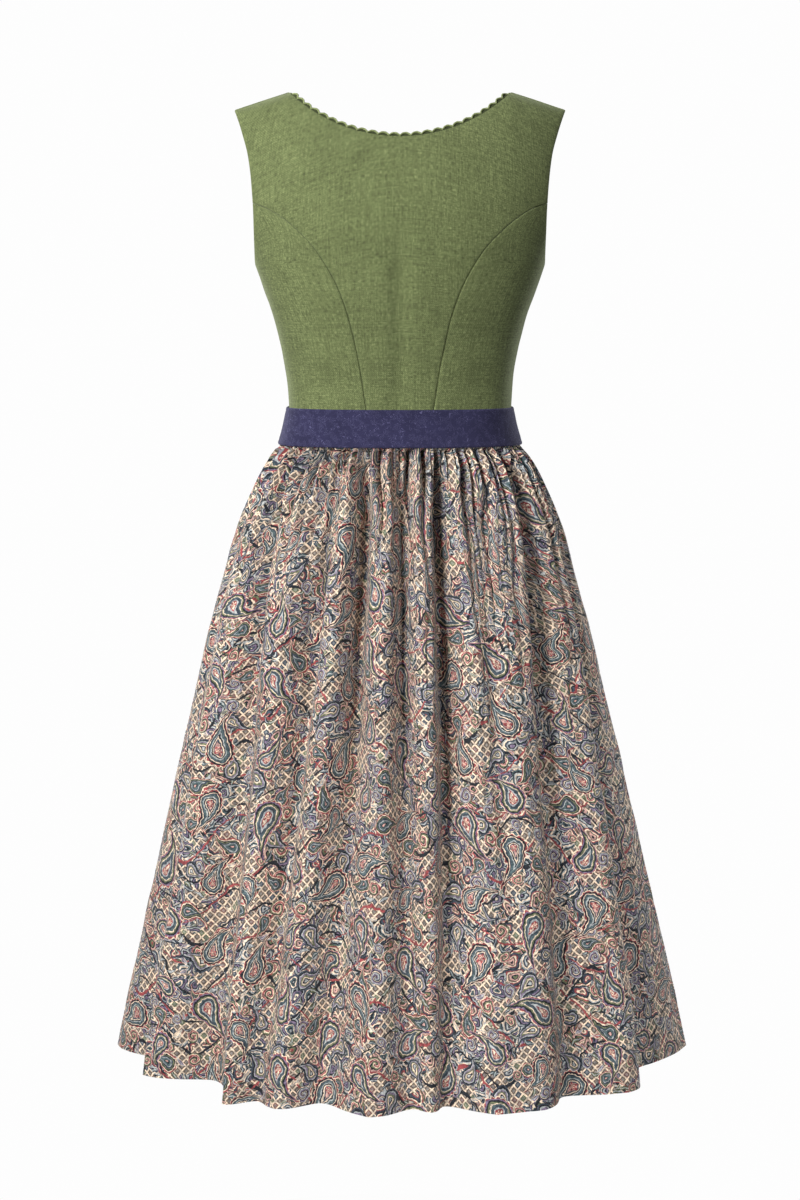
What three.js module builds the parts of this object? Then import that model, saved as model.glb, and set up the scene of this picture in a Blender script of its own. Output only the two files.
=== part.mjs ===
// Dirndl dress, sleeveless, in the hollow form that it has when it is worn.
//
// A green bodice of seven panels, joined by curved princess seams that start in the armholes, has a
// scalloped braid round its neck. A dark blue waistband joins it to a wide skirt of three panels, whose
// gathers open into deep, uneven folds. The bodice and skirt close edge to edge at the centre front.
//
// Units are millimetres and +Z is up. The back of the dress faces -Y and its front +Y, and +X is the
// wearer's right. The origin lies midway between the two ends of the neck opening on the shoulder
// seams, where the wearer's shoulders carry the dress.
import * as THREE from "three";

// ---------------------------------------------------------------- driving sizes
const SEAM_GAP = 0.3; // between two panels
const BODICE_WALL = 1.8;
const BAND_WALL = 2.0;
const SKIRT_WALL = 1.4;
const TRIM_WALL = 1.4;

const NECK_HALF = 130.5; // from the centre to the neck end of a shoulder seam
const SHOULDER_HALF = 195; // from the centre to the shoulder's tip
const SHOULDER_FALL = 21; // how much lower the tip is
const NECK_BACK = -54; // lowest point of the back neckline
const NECK_FRONT = -166; // lowest point of the front neckline
const UNDERARM = -202; // top of the side seam
const RIDGE_FULL = -45; // above this the sections follow the shoulder's slope in full
const BACK_SEAM_TOP = -131; // where the princess seams start in the armholes
const FRONT_SEAM_TOP = -129;
const BODICE_BOTTOM = -385; // tucked inside the waistband
const BAND_TOP = -369.5;
const BAND_BOTTOM = -413.5;
const SKIRT_TOP = -404; // tucked inside the waistband
const HEM = -1152;

const BODY_POWER = 2.35; // 2 is an ellipse, and more is squarer
const SKIRT_POWER = 2.06;
const QUARTER = Math.PI / 2;

const OPENING = new THREE.Vector3(0, 20, 40); // inside the neck opening
const TRIM_CLEAR = 0.35;
const NECK_COLUMNS = 7; // on each half of the back's neckline
const SHOULDER_COLUMNS = 2;
const NECK_CLOSING = 1.35; // the front's rows lie closer together towards the shoulder
const STEPS_A_SCALLOP = 3;
const SCALLOP_PITCH = 12.6;
const SCALLOP_LOW = 1.4;
const SCALLOP_HIGH = 5;
const TRIM_SUNK = 0.2; // how far the braid's face lies under the bodice's face

// Half the bodice's width at a height, at the sides of its sections.
const BODICE_WIDTHS = [
  { z: -385, half: 131.6 },
  { z: -367, half: 132.2 },
  { z: -339, half: 134.4 },
  { z: -309, half: 138.9 },
  { z: -270, half: 147.8 },
  { z: -237, half: 159 },
  { z: -202, half: 171.2 },
  { z: -180, half: 178 },
  { z: -150, half: 188 },
  { z: -110, half: 197 },
  { z: -60, half: 201 },
  { z: 0, half: 204 },
];
// Depth of the back and front by the drop below the shoulder's ridge.
const BODICE_DEPTHS = [
  { drop: 0, back: 0, front: 0 },
  { drop: 4, back: 18, front: 17 },
  { drop: 12, back: 32, front: 29 },
  { drop: 27, back: 46, front: 42 },
  { drop: 54, back: 63, front: 58 },
  { drop: 90, back: 80, front: 76 },
  { drop: 130, back: 92, front: 94 },
  { drop: 180, back: 98, front: 114 },
  { drop: 235, back: 97, front: 125 },
  { drop: 300, back: 90, front: 117 },
  { drop: 340, back: 85, front: 104.5 },
  { drop: 385, back: 82, front: 97 },
];
// Edges and seams: distance from the centre by height.
const BACK_ARMHOLE = [
  { z: -202, x: 171.2 },
  { z: -183, x: 171.3 },
  { z: -142, x: 172 },
  { z: -110, x: 173.8 },
  { z: -77, x: 178 },
  { z: -47, x: 186 },
  { z: -21, x: 195 },
];
const BACK_PRINCESS = [
  { z: -385, x: 37.5 },
  { z: -340, x: 43.9 },
  { z: -285, x: 54.2 },
  { z: -235, x: 69.5 },
  { z: -190, x: 94.4 },
  { z: -160, x: 122 },
  { z: -140, x: 149.5 },
  { z: -131, x: 168.5 },
  { z: -129, x: 172.4 },
];
const FRONT_ARMHOLE = [
  { z: -202, x: 171.2 },
  { z: -190, x: 163.5 },
  { z: -170, x: 157 },
  { z: -145, x: 153.6 },
  { z: -118, x: 153.4 },
  { z: -90, x: 157 },
  { z: -60, x: 166 },
  { z: -38, x: 179 },
  { z: -21, x: 195 },
];
const FRONT_PRINCESS = [
  { z: -385, x: 62 },
  { z: -367, x: 65 },
  { z: -325, x: 73 },
  { z: -280, x: 83 },
  { z: -235, x: 94 },
  { z: -205, x: 102.5 },
  { z: -180, x: 112 },
  { z: -158, x: 125 },
  { z: -140, x: 140.5 },
  { z: -129, x: 151.5 },
  { z: -127, x: 153.5 },
];
const FRONT_NECK = [
  { z: -166, x: 0.2 },
  { z: -164.4, x: 34 },
  { z: -160, x: 59 },
  { z: -152, x: 80 },
  { z: -140, x: 96 },
  { z: -122, x: 107.5 },
  { z: -100, x: 115 },
  { z: -70, x: 121 },
  { z: -35, x: 126 },
  { z: 0, x: 130.5 },
];
// Rows of points up the panels. The side seams and princess seams share theirs, so their gaps are even.
const SEAM_ROWS = [-385, -352, -312, -275, -238, -202];
const BACK_ROWS = [-185, -168, -153, -141, -134];
const FRONT_ROWS = [-185, -172, -160, -150, -140, -132];
const NECK_ROW = 7; // the front's row that starts at the neckline's lowest point
const STRAP_ROWS = [-106, -76, -50, -34, -25, -21];
// Top edge of a side panel's tip, by its ends at the princess seam and at the armhole.
const BACK_TIP = [-134.4, -131.4];
const FRONT_TIP = [-132.4, -129.6];

const BAND_SECTIONS = [
  { z: -413.5, half: 145.8, back: 92.5, front: 108.6 },
  { z: -391.5, half: 139.8, back: 88.8, front: 105.4 },
  { z: -369.5, half: 135.2, back: 86.6, front: 103 },
];
const SKIRT_SECTIONS = [
  { z: -1152, half: 346, back: 287, front: 292 },
  { z: -1092, half: 334, back: 275, front: 281 },
  { z: -993, half: 311, back: 250, front: 258 },
  { z: -894, half: 288.5, back: 225, front: 235 },
  { z: -796, half: 266, back: 201, front: 212 },
  { z: -698, half: 243, back: 178, front: 190 },
  { z: -601, half: 219.6, back: 155, front: 168 },
  { z: -553, half: 206, back: 143, front: 156 },
  { z: -505, half: 190.8, back: 130, front: 144 },
  { z: -470, half: 176.5, back: 119, front: 133 },
  { z: -440, half: 161.5, back: 106, front: 120 },
  { z: -428, half: 153.5, back: 99, front: 114 },
  { z: -415, half: 142.8, back: 89.6, front: 105.6 },
  { z: -404, half: 139, back: 86.4, front: 102.4 },
];
// Crests and valleys of the skirt, from the centre front round the left side, the back and the right
// side: the angle from the centre back in degrees, at the waist and the hem, and the distance out from
// the skirt's section, part way down and at the hem.
const SKIRT_FOLDS = [
  { waist: -180, hem: -180, middle: 0, end: -2 },
  { waist: -170, hem: -172, middle: -18, end: -22 },
  { waist: -160, hem: -165, middle: 1, end: 2 },
  { waist: -150, hem: -157, middle: -14, end: -20 },
  { waist: -139, hem: -147, middle: 2, end: 4 },
  { waist: -127, hem: -134, middle: -20, end: -32 },
  { waist: -115, hem: -120, middle: 2, end: 3 },
  { waist: -103, hem: -106, middle: -16, end: -36 },
  { waist: -91, hem: -93, middle: 0, end: 0 },
  { waist: -79, hem: -79, middle: -9, end: -42 },
  { waist: -67, hem: -65, middle: 2, end: -26 },
  { waist: -55, hem: -50, middle: -18, end: -62 },
  { waist: -42, hem: -35, middle: 3, end: 1 },
  { waist: -29, hem: -29, middle: -15, end: -9 },
  { waist: -21, hem: -24, middle: 3, end: -9 },
  { waist: -13, hem: -17, middle: -24, end: -31 },
  { waist: -6, hem: -5.5, middle: 2, end: 3 },
  { waist: 0.5, hem: 2.6, middle: -16, end: -17 },
  { waist: 7, hem: 5.6, middle: 1, end: -18 },
  { waist: 14.5, hem: 9, middle: -20, end: -25 },
  { waist: 22, hem: 16.5, middle: 2, end: 5 },
  { waist: 31, hem: 22, middle: -6, end: 7 },
  { waist: 43, hem: 27, middle: 3, end: 5 },
  { waist: 56, hem: 35, middle: -20, end: -13 },
  { waist: 68, hem: 46, middle: 2, end: 0 },
  { waist: 80, hem: 67, middle: -22, end: -44 },
  { waist: 91, hem: 92, middle: 0, end: 5 },
  { waist: 103, hem: 107, middle: -18, end: -36 },
  { waist: 116, hem: 121, middle: 2, end: 2 },
  { waist: 128, hem: 134, middle: -14, end: -20 },
  { waist: 140, hem: 146, middle: 2, end: 5 },
  { waist: 151, hem: 155, middle: -20, end: -28 },
  { waist: 161, hem: 164, middle: 1, end: 0 },
  { waist: 171, hem: 172, middle: -14, end: -18 },
  { waist: 180, hem: 180, middle: 0, end: -2 },
];
// How far a fold has opened at a height, as shares of its middle and end sizes.
const FOLD_GROWTH = [
  { z: -1152, middle: 0, end: 1 },
  { z: -900, middle: 0.55, end: 0.45 },
  { z: -650, middle: 1, end: 0 },
  { z: -500, middle: 0.7, end: 0 },
  { z: -440, middle: 0.3, end: 0 },
  { z: -416, middle: 0, end: 0 },
  { z: -404, middle: 0, end: 0 },
];
const SKIRT_ROWS = [-1152, -1025, -885, -745, -620, -525, -460, -428, -415, -404];
const SKIRT_EASE = 110; // height over which the skirt's section loses the waistband's squareness
const LEFT_SEAM_FOLD = 8; // the crests that the skirt's side seams follow
const RIGHT_SEAM_FOLD = 26;
const COLUMNS_A_FOLD = 3;

// ---------------------------------------------------------------- curves through the tables

// A smooth curve through the table's rows that never overshoots them.
function through(rows, at, value) {
  const sorted = [...rows].sort((a, b) => a[at] - b[at]);
  const xs = sorted.map((row) => row[at]);
  const ys = sorted.map((row) => row[value]);
  const last = xs.length - 1;
  const rises = xs.slice(1).map((x, i) => (ys[i + 1] - ys[i]) / (x - xs[i]));
  const slopes = xs.map((_, i) => {
    if (i === 0) return rises[0];
    if (i === last) return rises[last - 1];
    const [before, after] = [rises[i - 1], rises[i]];
    return before * after <= 0 ? 0 : (2 * before * after) / (before + after);
  });
  return (x) => {
    if (x <= xs[0]) return ys[0];
    if (x >= xs[last]) return ys[last];
    let i = 0;
    while (x > xs[i + 1]) i += 1;
    const step = xs[i + 1] - xs[i];
    const t = (x - xs[i]) / step;
    const late = t * t * (3 - 2 * t);
    const bend = step * t * (1 - t);
    return ys[i] * (1 - late) + ys[i + 1] * late + bend * ((1 - t) * slopes[i] - t * slopes[i + 1]);
  };
}

const lerp = (a, b, t) => a + (b - a) * t;
const smooth = (t) => t * t * (3 - 2 * t);
const clamp01 = (t) => Math.min(1, Math.max(0, t));

// Sine and cosine of a squared ellipse.
const across = (angle, power) => Math.sign(Math.sin(angle)) * Math.abs(Math.sin(angle)) ** (2 / power);
const along = (angle, power) => Math.sign(Math.cos(angle)) * Math.abs(Math.cos(angle)) ** (2 / power);

// ---------------------------------------------------------------- the bodice's surface

const bodiceHalf = through(BODICE_WIDTHS, "z", "half");
const depthRows = BODICE_DEPTHS.map((row) => ({ ...row, root: Math.sqrt(row.drop) }));
const backDepth = through(depthRows, "root", "back");
const frontDepth = through(depthRows, "root", "front");

// Height of the shoulder's ridge above the ends of the neck, less its share lower down the body.
function ridge(x, z) {
  const out = Math.max(0, Math.abs(x) - NECK_HALF) / (SHOULDER_HALF - NECK_HALF);
  return -SHOULDER_FALL * out * smooth(clamp01((z - UNDERARM) / (RIDGE_FULL - UNDERARM)));
}

// The point at an angle from the centre back, positive to the right, and a height.
function bodicePoint(angle, z) {
  const x = bodiceHalf(z) * across(angle, BODY_POWER);
  const root = Math.sqrt(Math.max(0, ridge(x, z) - z));
  const inward = along(angle, BODY_POWER);
  const depth = inward > 0 ? backDepth(root) : frontDepth(root);
  return new THREE.Vector3(x, -depth * inward, z);
}

// The outward direction of a surface, by small steps round and up it.
function outward(point, angle, z) {
  const step = 0.4;
  const turn = 0.003;
  const side = point(angle + turn, z).sub(point(angle - turn, z));
  const up = point(angle, z + step).sub(point(angle, z - step));
  return side.cross(up).normalize();
}

function bodiceNormal(angle, z) {
  const here = bodicePoint(angle, z);
  const drop = ridge(here.x, z) - z;
  const slope = Math.sign(here.x) * (SHOULDER_FALL / (SHOULDER_HALF - NECK_HALF));
  const top = new THREE.Vector3(slope, 0, 1).normalize();
  if (drop < 0.01) return top;
  const low = outward(bodicePoint, angle, z - Math.max(0, 3 - drop));
  return top.lerp(low, clamp01(drop / 3)).normalize();
}

// The angle of the point that is x from the centre, on the back or on the front.
function angleAt(x, z, onFront) {
  const sine = Math.min(1, Math.abs(x) / bodiceHalf(z)) ** (BODY_POWER / 2);
  const angle = Math.asin(sine);
  return Math.sign(x || 1) * (onFront ? Math.PI - angle : angle);
}

// ---------------------------------------------------------------- closed walls

// A closed wall whose outer face is grid.outer and whose inner face is grid.inner, both rows of columns.
function wall({ outer, inner }) {
  const rows = outer.length;
  const columns = outer[0].length;
  const points = [...outer.flat(), ...inner.flat()].flatMap((p) => [p.x, p.y, p.z]);
  const out = (r, c) => r * columns + c;
  const inn = (r, c) => rows * columns + out(r, c);
  const faces = [];
  const quad = (a, b, c, d) => faces.push(a, b, c, a, c, d);
  for (let r = 0; r + 1 < rows; r += 1) {
    for (let c = 0; c + 1 < columns; c += 1) {
      quad(out(r, c), out(r, c + 1), out(r + 1, c + 1), out(r + 1, c));
      quad(inn(r, c), inn(r + 1, c), inn(r + 1, c + 1), inn(r, c + 1));
    }
    quad(out(r, 0), out(r + 1, 0), inn(r + 1, 0), inn(r, 0));
    quad(out(r, columns - 1), inn(r, columns - 1), inn(r + 1, columns - 1), out(r + 1, columns - 1));
  }
  for (let c = 0; c + 1 < columns; c += 1) {
    quad(out(0, c), inn(0, c), inn(0, c + 1), out(0, c + 1));
    quad(out(rows - 1, c), out(rows - 1, c + 1), inn(rows - 1, c + 1), inn(rows - 1, c));
  }
  const geometry = new THREE.BufferGeometry();
  geometry.setAttribute("position", new THREE.Float32BufferAttribute(points, 3));
  geometry.setIndex(faces);
  geometry.computeVertexNormals();
  return geometry;
}

// A grid of a surface's points and of the same points moved in by a wall's thickness.
function gridOf(rows, columns, place, thickness) {
  const outer = [];
  const inner = [];
  for (let r = 0; r < rows; r += 1) {
    const placed = Array.from({ length: columns }, (_, c) => place(r, c));
    outer.push(placed.map(({ point }) => point));
    inner.push(placed.map(({ point, normal }) => point.clone().addScaledVector(normal, -thickness)));
  }
  return { outer, inner };
}

const spaced = (count, from = 0, to = 1) =>
  Array.from({ length: count + 1 }, (_, i) => lerp(from, to, i / count));

// ---------------------------------------------------------------- the bodice's panels

const edgeOf = {
  backArmhole: through(BACK_ARMHOLE, "z", "x"),
  backPrincess: through(BACK_PRINCESS, "z", "x"),
  frontArmhole: through(FRONT_ARMHOLE, "z", "x"),
  frontPrincess: through(FRONT_PRINCESS, "z", "x"),
};

// Half a seam's gap along a section, more where the seam lies slantwise.
function halfGap(edge, z) {
  const slope = (edge(z + 1) - edge(z - 1)) / 2;
  return (SEAM_GAP / 2) * Math.hypot(1, slope);
}

// A seam's parameter, moved by half a gap on the side that step points to.
function beside(point, seam, step, z) {
  const speed = point(seam + step, z).distanceTo(point(seam, z)) / Math.abs(step);
  return seam + (Math.sign(step) * SEAM_GAP) / 2 / speed;
}
const SMALL_TURN = 0.002;

const BACK_NECK_RADIUS = (NECK_HALF ** 2 + NECK_BACK ** 2) / (2 * -NECK_BACK);
const backNeck = (x) => NECK_BACK + BACK_NECK_RADIUS - Math.sqrt(BACK_NECK_RADIUS ** 2 - x * x);
const shoulderSeam = (x) =>
  (-SHOULDER_FALL * (Math.abs(x) - NECK_HALF)) / (SHOULDER_HALF - NECK_HALF);

// Moves a shoulder seam's points off the ridge by half the seam's gap.
function offRidge(point, normal, onFront, isTop) {
  if (isTop && Math.abs(point.y) < 1) {
    point.y = (onFront ? 1 : -1) * (SEAM_GAP / 2);
    normal.setY(0).normalize();
  }
  return { point, normal };
}

// How much of the way from the princess seam's top to the shoulder a row is.
const strapShare = (z, seamTop) => clamp01((z - seamTop) / (-SHOULDER_FALL - seamTop)) ** 1.5;

// A centre panel's outer edge: the princess seam, and above it the armhole.
function centrePanelSide(z, seamTop, princess, armhole) {
  return z >= seamTop ? armhole(z) : princess(z) - halfGap(princess, z);
}

function centreBack() {
  const rows = [...SEAM_ROWS, ...BACK_ROWS, BACK_SEAM_TOP, ...STRAP_ROWS];
  const tip = angleAt(SHOULDER_HALF, -SHOULDER_FALL, false);
  const neckEnd = angleAt(NECK_HALF, 0, false) / tip;
  const right = [...spaced(NECK_COLUMNS, 0, neckEnd), ...spaced(SHOULDER_COLUMNS, neckEnd, 1).slice(1)];
  const shares = [...right.slice(1).reverse().map((share) => -share), ...right];
  // The height at which a column of the panel ends, on the neckline or on the shoulder seam.
  const topOf = (share) => {
    let z = -SHOULDER_FALL;
    for (let i = 0; i < 12; i += 1) {
      const x = Math.abs(bodiceHalf(z) * across(share * tip, BODY_POWER));
      z = Math.abs(share) < neckEnd - 1e-6 ? backNeck(Math.min(x, NECK_HALF)) : shoulderSeam(x);
    }
    return z;
  };
  const place = (r, c) => {
    const lift = (topOf(shares[c]) + SHOULDER_FALL) * strapShare(rows[r], BACK_SEAM_TOP);
    const side = centrePanelSide(rows[r], BACK_SEAM_TOP, edgeOf.backPrincess, edgeOf.backArmhole);
    const z = rows[r] + lift;
    const angle = angleAt(side, rows[r], false) * shares[c];
    const isTop = r === rows.length - 1;
    return offRidge(bodicePoint(angle, z), bodiceNormal(angle, z), false, isTop);
  };
  return gridOf(rows.length, shares.length, place, BODICE_WALL);
}

// A panel from a princess seam to the side seam and the lower part of the armhole.
function sidePanel(sign, onFront) {
  const princess = onFront ? edgeOf.frontPrincess : edgeOf.backPrincess;
  const armhole = onFront ? edgeOf.frontArmhole : edgeOf.backArmhole;
  const rows = [...SEAM_ROWS, ...(onFront ? FRONT_ROWS : BACK_ROWS)];
  const tip = onFront ? FRONT_TIP : BACK_TIP;
  const shares = spaced(4);
  const turn = onFront ? SMALL_TURN : -SMALL_TURN;
  const place = (r, c) => {
    const isTop = r === rows.length - 1;
    const z = isTop ? lerp(tip[0], tip[1], shares[c]) : rows[r];
    const fromSeam = angleAt(princess(rows[r]) + halfGap(princess, rows[r]), rows[r], onFront);
    const isOpen = rows[r] > UNDERARM;
    const outer = isOpen ? angleAt(armhole(z), z, onFront) : beside(bodicePoint, QUARTER, turn, z);
    const angle = sign * lerp(fromSeam, outer, shares[c]);
    return { point: bodicePoint(angle, z), normal: bodiceNormal(angle, z) };
  };
  return gridOf(rows.length, shares.length, place, BODICE_WALL);
}

// The front neckline's point at a share of its length from the centre.
const frontNeckRuns = FRONT_NECK.map((row, i) => {
  const steps = FRONT_NECK.slice(1, i + 1);
  const run = steps.reduce((sum, p, k) => sum + Math.hypot(p.x - FRONT_NECK[k].x, p.z - FRONT_NECK[k].z), 0);
  return { ...row, run };
});
const frontNeckLength = frontNeckRuns[frontNeckRuns.length - 1].run;
const frontNeckX = through(frontNeckRuns, "run", "x");
const frontNeckZ = through(frontNeckRuns, "run", "z");

function centreFront(sign) {
  const rows = [...SEAM_ROWS, ...FRONT_ROWS, FRONT_SEAM_TOP, ...STRAP_ROWS];
  const shares = spaced(6);
  const last = rows.length - 1;
  // A row's inner end: on the closed centre front, then along the neckline.
  const innerEnd = (r) => {
    if (r < NECK_ROW) return { x: SEAM_GAP / 2, z: rows[r] };
    const left = (last - r) / (last - NECK_ROW);
    const run = frontNeckLength * (1 - left ** NECK_CLOSING);
    return { x: Math.max(SEAM_GAP / 2, frontNeckX(run)), z: frontNeckZ(run) };
  };
  const place = (r, c) => {
    const inner = innerEnd(r);
    const side = centrePanelSide(rows[r], FRONT_SEAM_TOP, edgeOf.frontPrincess, edgeOf.frontArmhole);
    const x = lerp(inner.x, side, shares[c]);
    const z = r === last ? shoulderSeam(x) : lerp(inner.z, rows[r], shares[c]);
    const angle = sign * angleAt(x, z, true);
    return offRidge(bodicePoint(angle, z), bodiceNormal(angle, z), true, r === last);
  };
  return gridOf(rows.length, shares.length, place, BODICE_WALL);
}

// ---------------------------------------------------------------- the neck's braid

// A strip with a scalloped top that stands along a panel's edge, given as the edge's outer points and
// the inward directions there. It stands up towards the neck opening.
function scalloped(edge) {
  const runs = [0];
  edge.slice(1).forEach(({ point }, i) => runs.push(runs[i] + point.distanceTo(edge[i].point)));
  const length = runs[runs.length - 1];
  const scallops = Math.round(length / SCALLOP_PITCH);
  const count = scallops * STEPS_A_SCALLOP;
  const at = (run) => {
    let i = 0;
    while (i < runs.length - 2 && run > runs[i + 1]) i += 1;
    const share = (run - runs[i]) / (runs[i + 1] - runs[i]);
    const [a, b] = [edge[i], edge[i + 1]];
    return {
      point: a.point.clone().lerp(b.point, share),
      normal: a.normal.clone().lerp(b.normal, share).normalize(),
    };
  };
  const columns = spaced(count, SCALLOP_LOW, length - SCALLOP_LOW).map((run, i) => {
    const { point, normal } = at(run);
    const ahead = at(run + SCALLOP_LOW).point.sub(at(run - SCALLOP_LOW).point);
    const rise = ahead.cross(normal).normalize();
    if (rise.dot(OPENING.clone().sub(point)) < 0) rise.negate();
    const arch = Math.abs(Math.sin((Math.PI * i) / STEPS_A_SCALLOP));
    return { point, normal, rise, high: lerp(SCALLOP_LOW, SCALLOP_HIGH, arch) };
  });
  const place = (r, c) => {
    const { point, normal, rise, high } = columns[c];
    const base = point.clone().addScaledVector(rise, r === 0 ? TRIM_CLEAR : high);
    return { point: base.addScaledVector(normal, -TRIM_SUNK), normal };
  };
  return gridOf(2, columns.length, place, TRIM_WALL);
}

// A panel's edge, as its outer points with the directions from its inner points to them.
const edgeFrom = (outer, inner) =>
  outer.map((point, i) => ({ point, normal: point.clone().sub(inner[i]).normalize() }));

function backTrim(panel) {
  const top = panel.outer.length - 1;
  const ends = [SHOULDER_COLUMNS, panel.outer[top].length - SHOULDER_COLUMNS];
  return scalloped(edgeFrom(panel.outer[top].slice(...ends), panel.inner[top].slice(...ends)));
}

function frontTrim(panel) {
  const firsts = (rows) => rows.slice(NECK_ROW).map((row) => row[0]);
  return scalloped(edgeFrom(firsts(panel.outer), firsts(panel.inner)));
}

// ---------------------------------------------------------------- the waistband and the skirt

const bandHalf = through(BAND_SECTIONS, "z", "half");
const bandBack = through(BAND_SECTIONS, "z", "back");
const bandFront = through(BAND_SECTIONS, "z", "front");

function bandPoint(angle, z) {
  const inward = along(angle, BODY_POWER);
  const depth = inward > 0 ? bandBack(z) : bandFront(z);
  return new THREE.Vector3(bandHalf(z) * across(angle, BODY_POWER), -depth * inward, z);
}

function waistband(from, to, columns) {
  const rows = [BAND_BOTTOM, (BAND_BOTTOM + BAND_TOP) / 2, BAND_TOP];
  const first = beside(bandPoint, from, SMALL_TURN, BAND_TOP);
  const last = beside(bandPoint, to, -SMALL_TURN, BAND_TOP);
  const angles = spaced(columns, first, last);
  const place = (r, c) => {
    const height = Math.min(BAND_TOP - 0.5, Math.max(BAND_BOTTOM + 0.5, rows[r]));
    return { point: bandPoint(angles[c], rows[r]), normal: outward(bandPoint, angles[c], height) };
  };
  return gridOf(rows.length, angles.length, place, BAND_WALL);
}

const skirtHalf = through(SKIRT_SECTIONS, "z", "half");
const skirtBack = through(SKIRT_SECTIONS, "z", "back");
const skirtFront = through(SKIRT_SECTIONS, "z", "front");
const middleShare = through(FOLD_GROWTH, "z", "middle");
const endShare = through(FOLD_GROWTH, "z", "end");

// The skirt's point at a place along its folds, counted in rows of SKIRT_FOLDS, and a height.
function skirtPoint(place, z) {
  const i = Math.min(SKIRT_FOLDS.length - 2, Math.max(0, Math.floor(place)));
  const t = place - i;
  const down = (SKIRT_TOP - z) / (SKIRT_TOP - HEM);
  const [a, b] = [SKIRT_FOLDS[i], SKIRT_FOLDS[i + 1]];
  const turn = (fold) => lerp(fold.waist, fold.hem, down);
  const size = (fold) => fold.middle * middleShare(z) + fold.end * endShare(z);
  const angle = THREE.MathUtils.degToRad(lerp(turn(a), turn(b), t));
  const out = lerp(size(a), size(b), (1 - Math.cos(Math.PI * t)) / 2);
  const power = lerp(BODY_POWER, SKIRT_POWER, smooth(clamp01((SKIRT_TOP - z) / SKIRT_EASE)));
  const inward = along(angle, power);
  const depth = (inward > 0 ? skirtBack(z) : skirtFront(z)) + out;
  return new THREE.Vector3((skirtHalf(z) + out) * across(angle, power), -depth * inward, z);
}

function skirtPanel(from, to) {
  const shares = spaced((to - from) * COLUMNS_A_FOLD);
  const place = (r, c) => {
    const z = SKIRT_ROWS[r];
    const first = beside(skirtPoint, from, SMALL_TURN, z);
    const last = beside(skirtPoint, to, -SMALL_TURN, z);
    const along = lerp(first, last, shares[c]);
    const height = Math.min(SKIRT_TOP - 0.5, Math.max(HEM + 0.5, z));
    return { point: skirtPoint(along, z), normal: outward(skirtPoint, along, height) };
  };
  return gridOf(SKIRT_ROWS.length, shares.length, place, SKIRT_WALL);
}

// ---------------------------------------------------------------- the finished dress

const cloth = (color, roughness) => new THREE.MeshStandardMaterial({ color, roughness, metalness: 0 });
const GREEN = cloth(0x6f7a50, 0.9);
const DARK_GREEN = cloth(0x5f6b42, 0.85);
const BLUE = cloth(0x3d3c5c, 0.9);
const PRINT = cloth(0x8c807b, 0.85);

const dress = new THREE.Group();

function add(name, grid, material) {
  const mesh = new THREE.Mesh(wall(grid), material);
  mesh.name = name;
  dress.add(mesh);
}

// A left piece mirrors the right one, so its columns are put in the other order to face out.
function mirrored({ outer, inner }) {
  return { outer: outer.map((row) => [...row].reverse()), inner: inner.map((row) => [...row].reverse()) };
}

const backPanel = centreBack();
const frontPanels = { right: centreFront(1), left: centreFront(-1) };

add("bodice_centre_back", backPanel, GREEN);
add("bodice_side_back_right", sidePanel(1, false), GREEN);
add("bodice_side_back_left", mirrored(sidePanel(-1, false)), GREEN);
add("bodice_side_front_right", mirrored(sidePanel(1, true)), GREEN);
add("bodice_side_front_left", sidePanel(-1, true), GREEN);
add("bodice_centre_front_right", mirrored(frontPanels.right), GREEN);
add("bodice_centre_front_left", frontPanels.left, GREEN);
add("neck_trim_back", backTrim(backPanel), DARK_GREEN);
add("neck_trim_front_right", mirrored(frontTrim(frontPanels.right)), DARK_GREEN);
add("neck_trim_front_left", frontTrim(frontPanels.left), DARK_GREEN);
add("waistband_back", waistband(-QUARTER, QUARTER, 20), BLUE);
add("waistband_front_right", waistband(QUARTER, Math.PI, 10), BLUE);
add("waistband_front_left", waistband(-Math.PI, -QUARTER, 10), BLUE);
add("skirt_back", skirtPanel(LEFT_SEAM_FOLD, RIGHT_SEAM_FOLD), PRINT);
add("skirt_front_right", skirtPanel(RIGHT_SEAM_FOLD, SKIRT_FOLDS.length - 1), PRINT);
add("skirt_front_left", skirtPanel(0, LEFT_SEAM_FOLD), PRINT);

export default dress;
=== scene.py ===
"""Dirndl dress: a green panelled bodice, a braided neck, a dark blue waistband and a wide printed skirt."""

import math

import bpy
import numpy as np
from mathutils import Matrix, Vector
from mathutils import noise as cloth_noise


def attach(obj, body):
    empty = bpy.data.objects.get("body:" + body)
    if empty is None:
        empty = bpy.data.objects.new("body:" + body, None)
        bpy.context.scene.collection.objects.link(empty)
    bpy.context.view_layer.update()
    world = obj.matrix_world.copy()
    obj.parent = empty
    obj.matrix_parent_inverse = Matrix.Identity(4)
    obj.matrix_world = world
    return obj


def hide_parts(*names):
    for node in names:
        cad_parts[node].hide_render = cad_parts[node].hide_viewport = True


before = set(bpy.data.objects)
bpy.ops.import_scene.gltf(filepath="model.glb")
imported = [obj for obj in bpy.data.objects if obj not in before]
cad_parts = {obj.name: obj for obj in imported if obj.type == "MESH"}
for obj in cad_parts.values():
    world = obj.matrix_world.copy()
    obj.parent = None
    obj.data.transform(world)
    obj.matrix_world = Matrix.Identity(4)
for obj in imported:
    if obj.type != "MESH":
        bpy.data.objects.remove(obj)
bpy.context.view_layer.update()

MM = 0.001

# ---------------- sizes of the cut, in millimetres

SEAM_GAP = 0.3
TIGHT_GAP = 0.06
BODICE_CLOTH = 1.5
BAND_CLOTH = 1.8
SKIRT_CLOTH = 1.0

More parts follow.
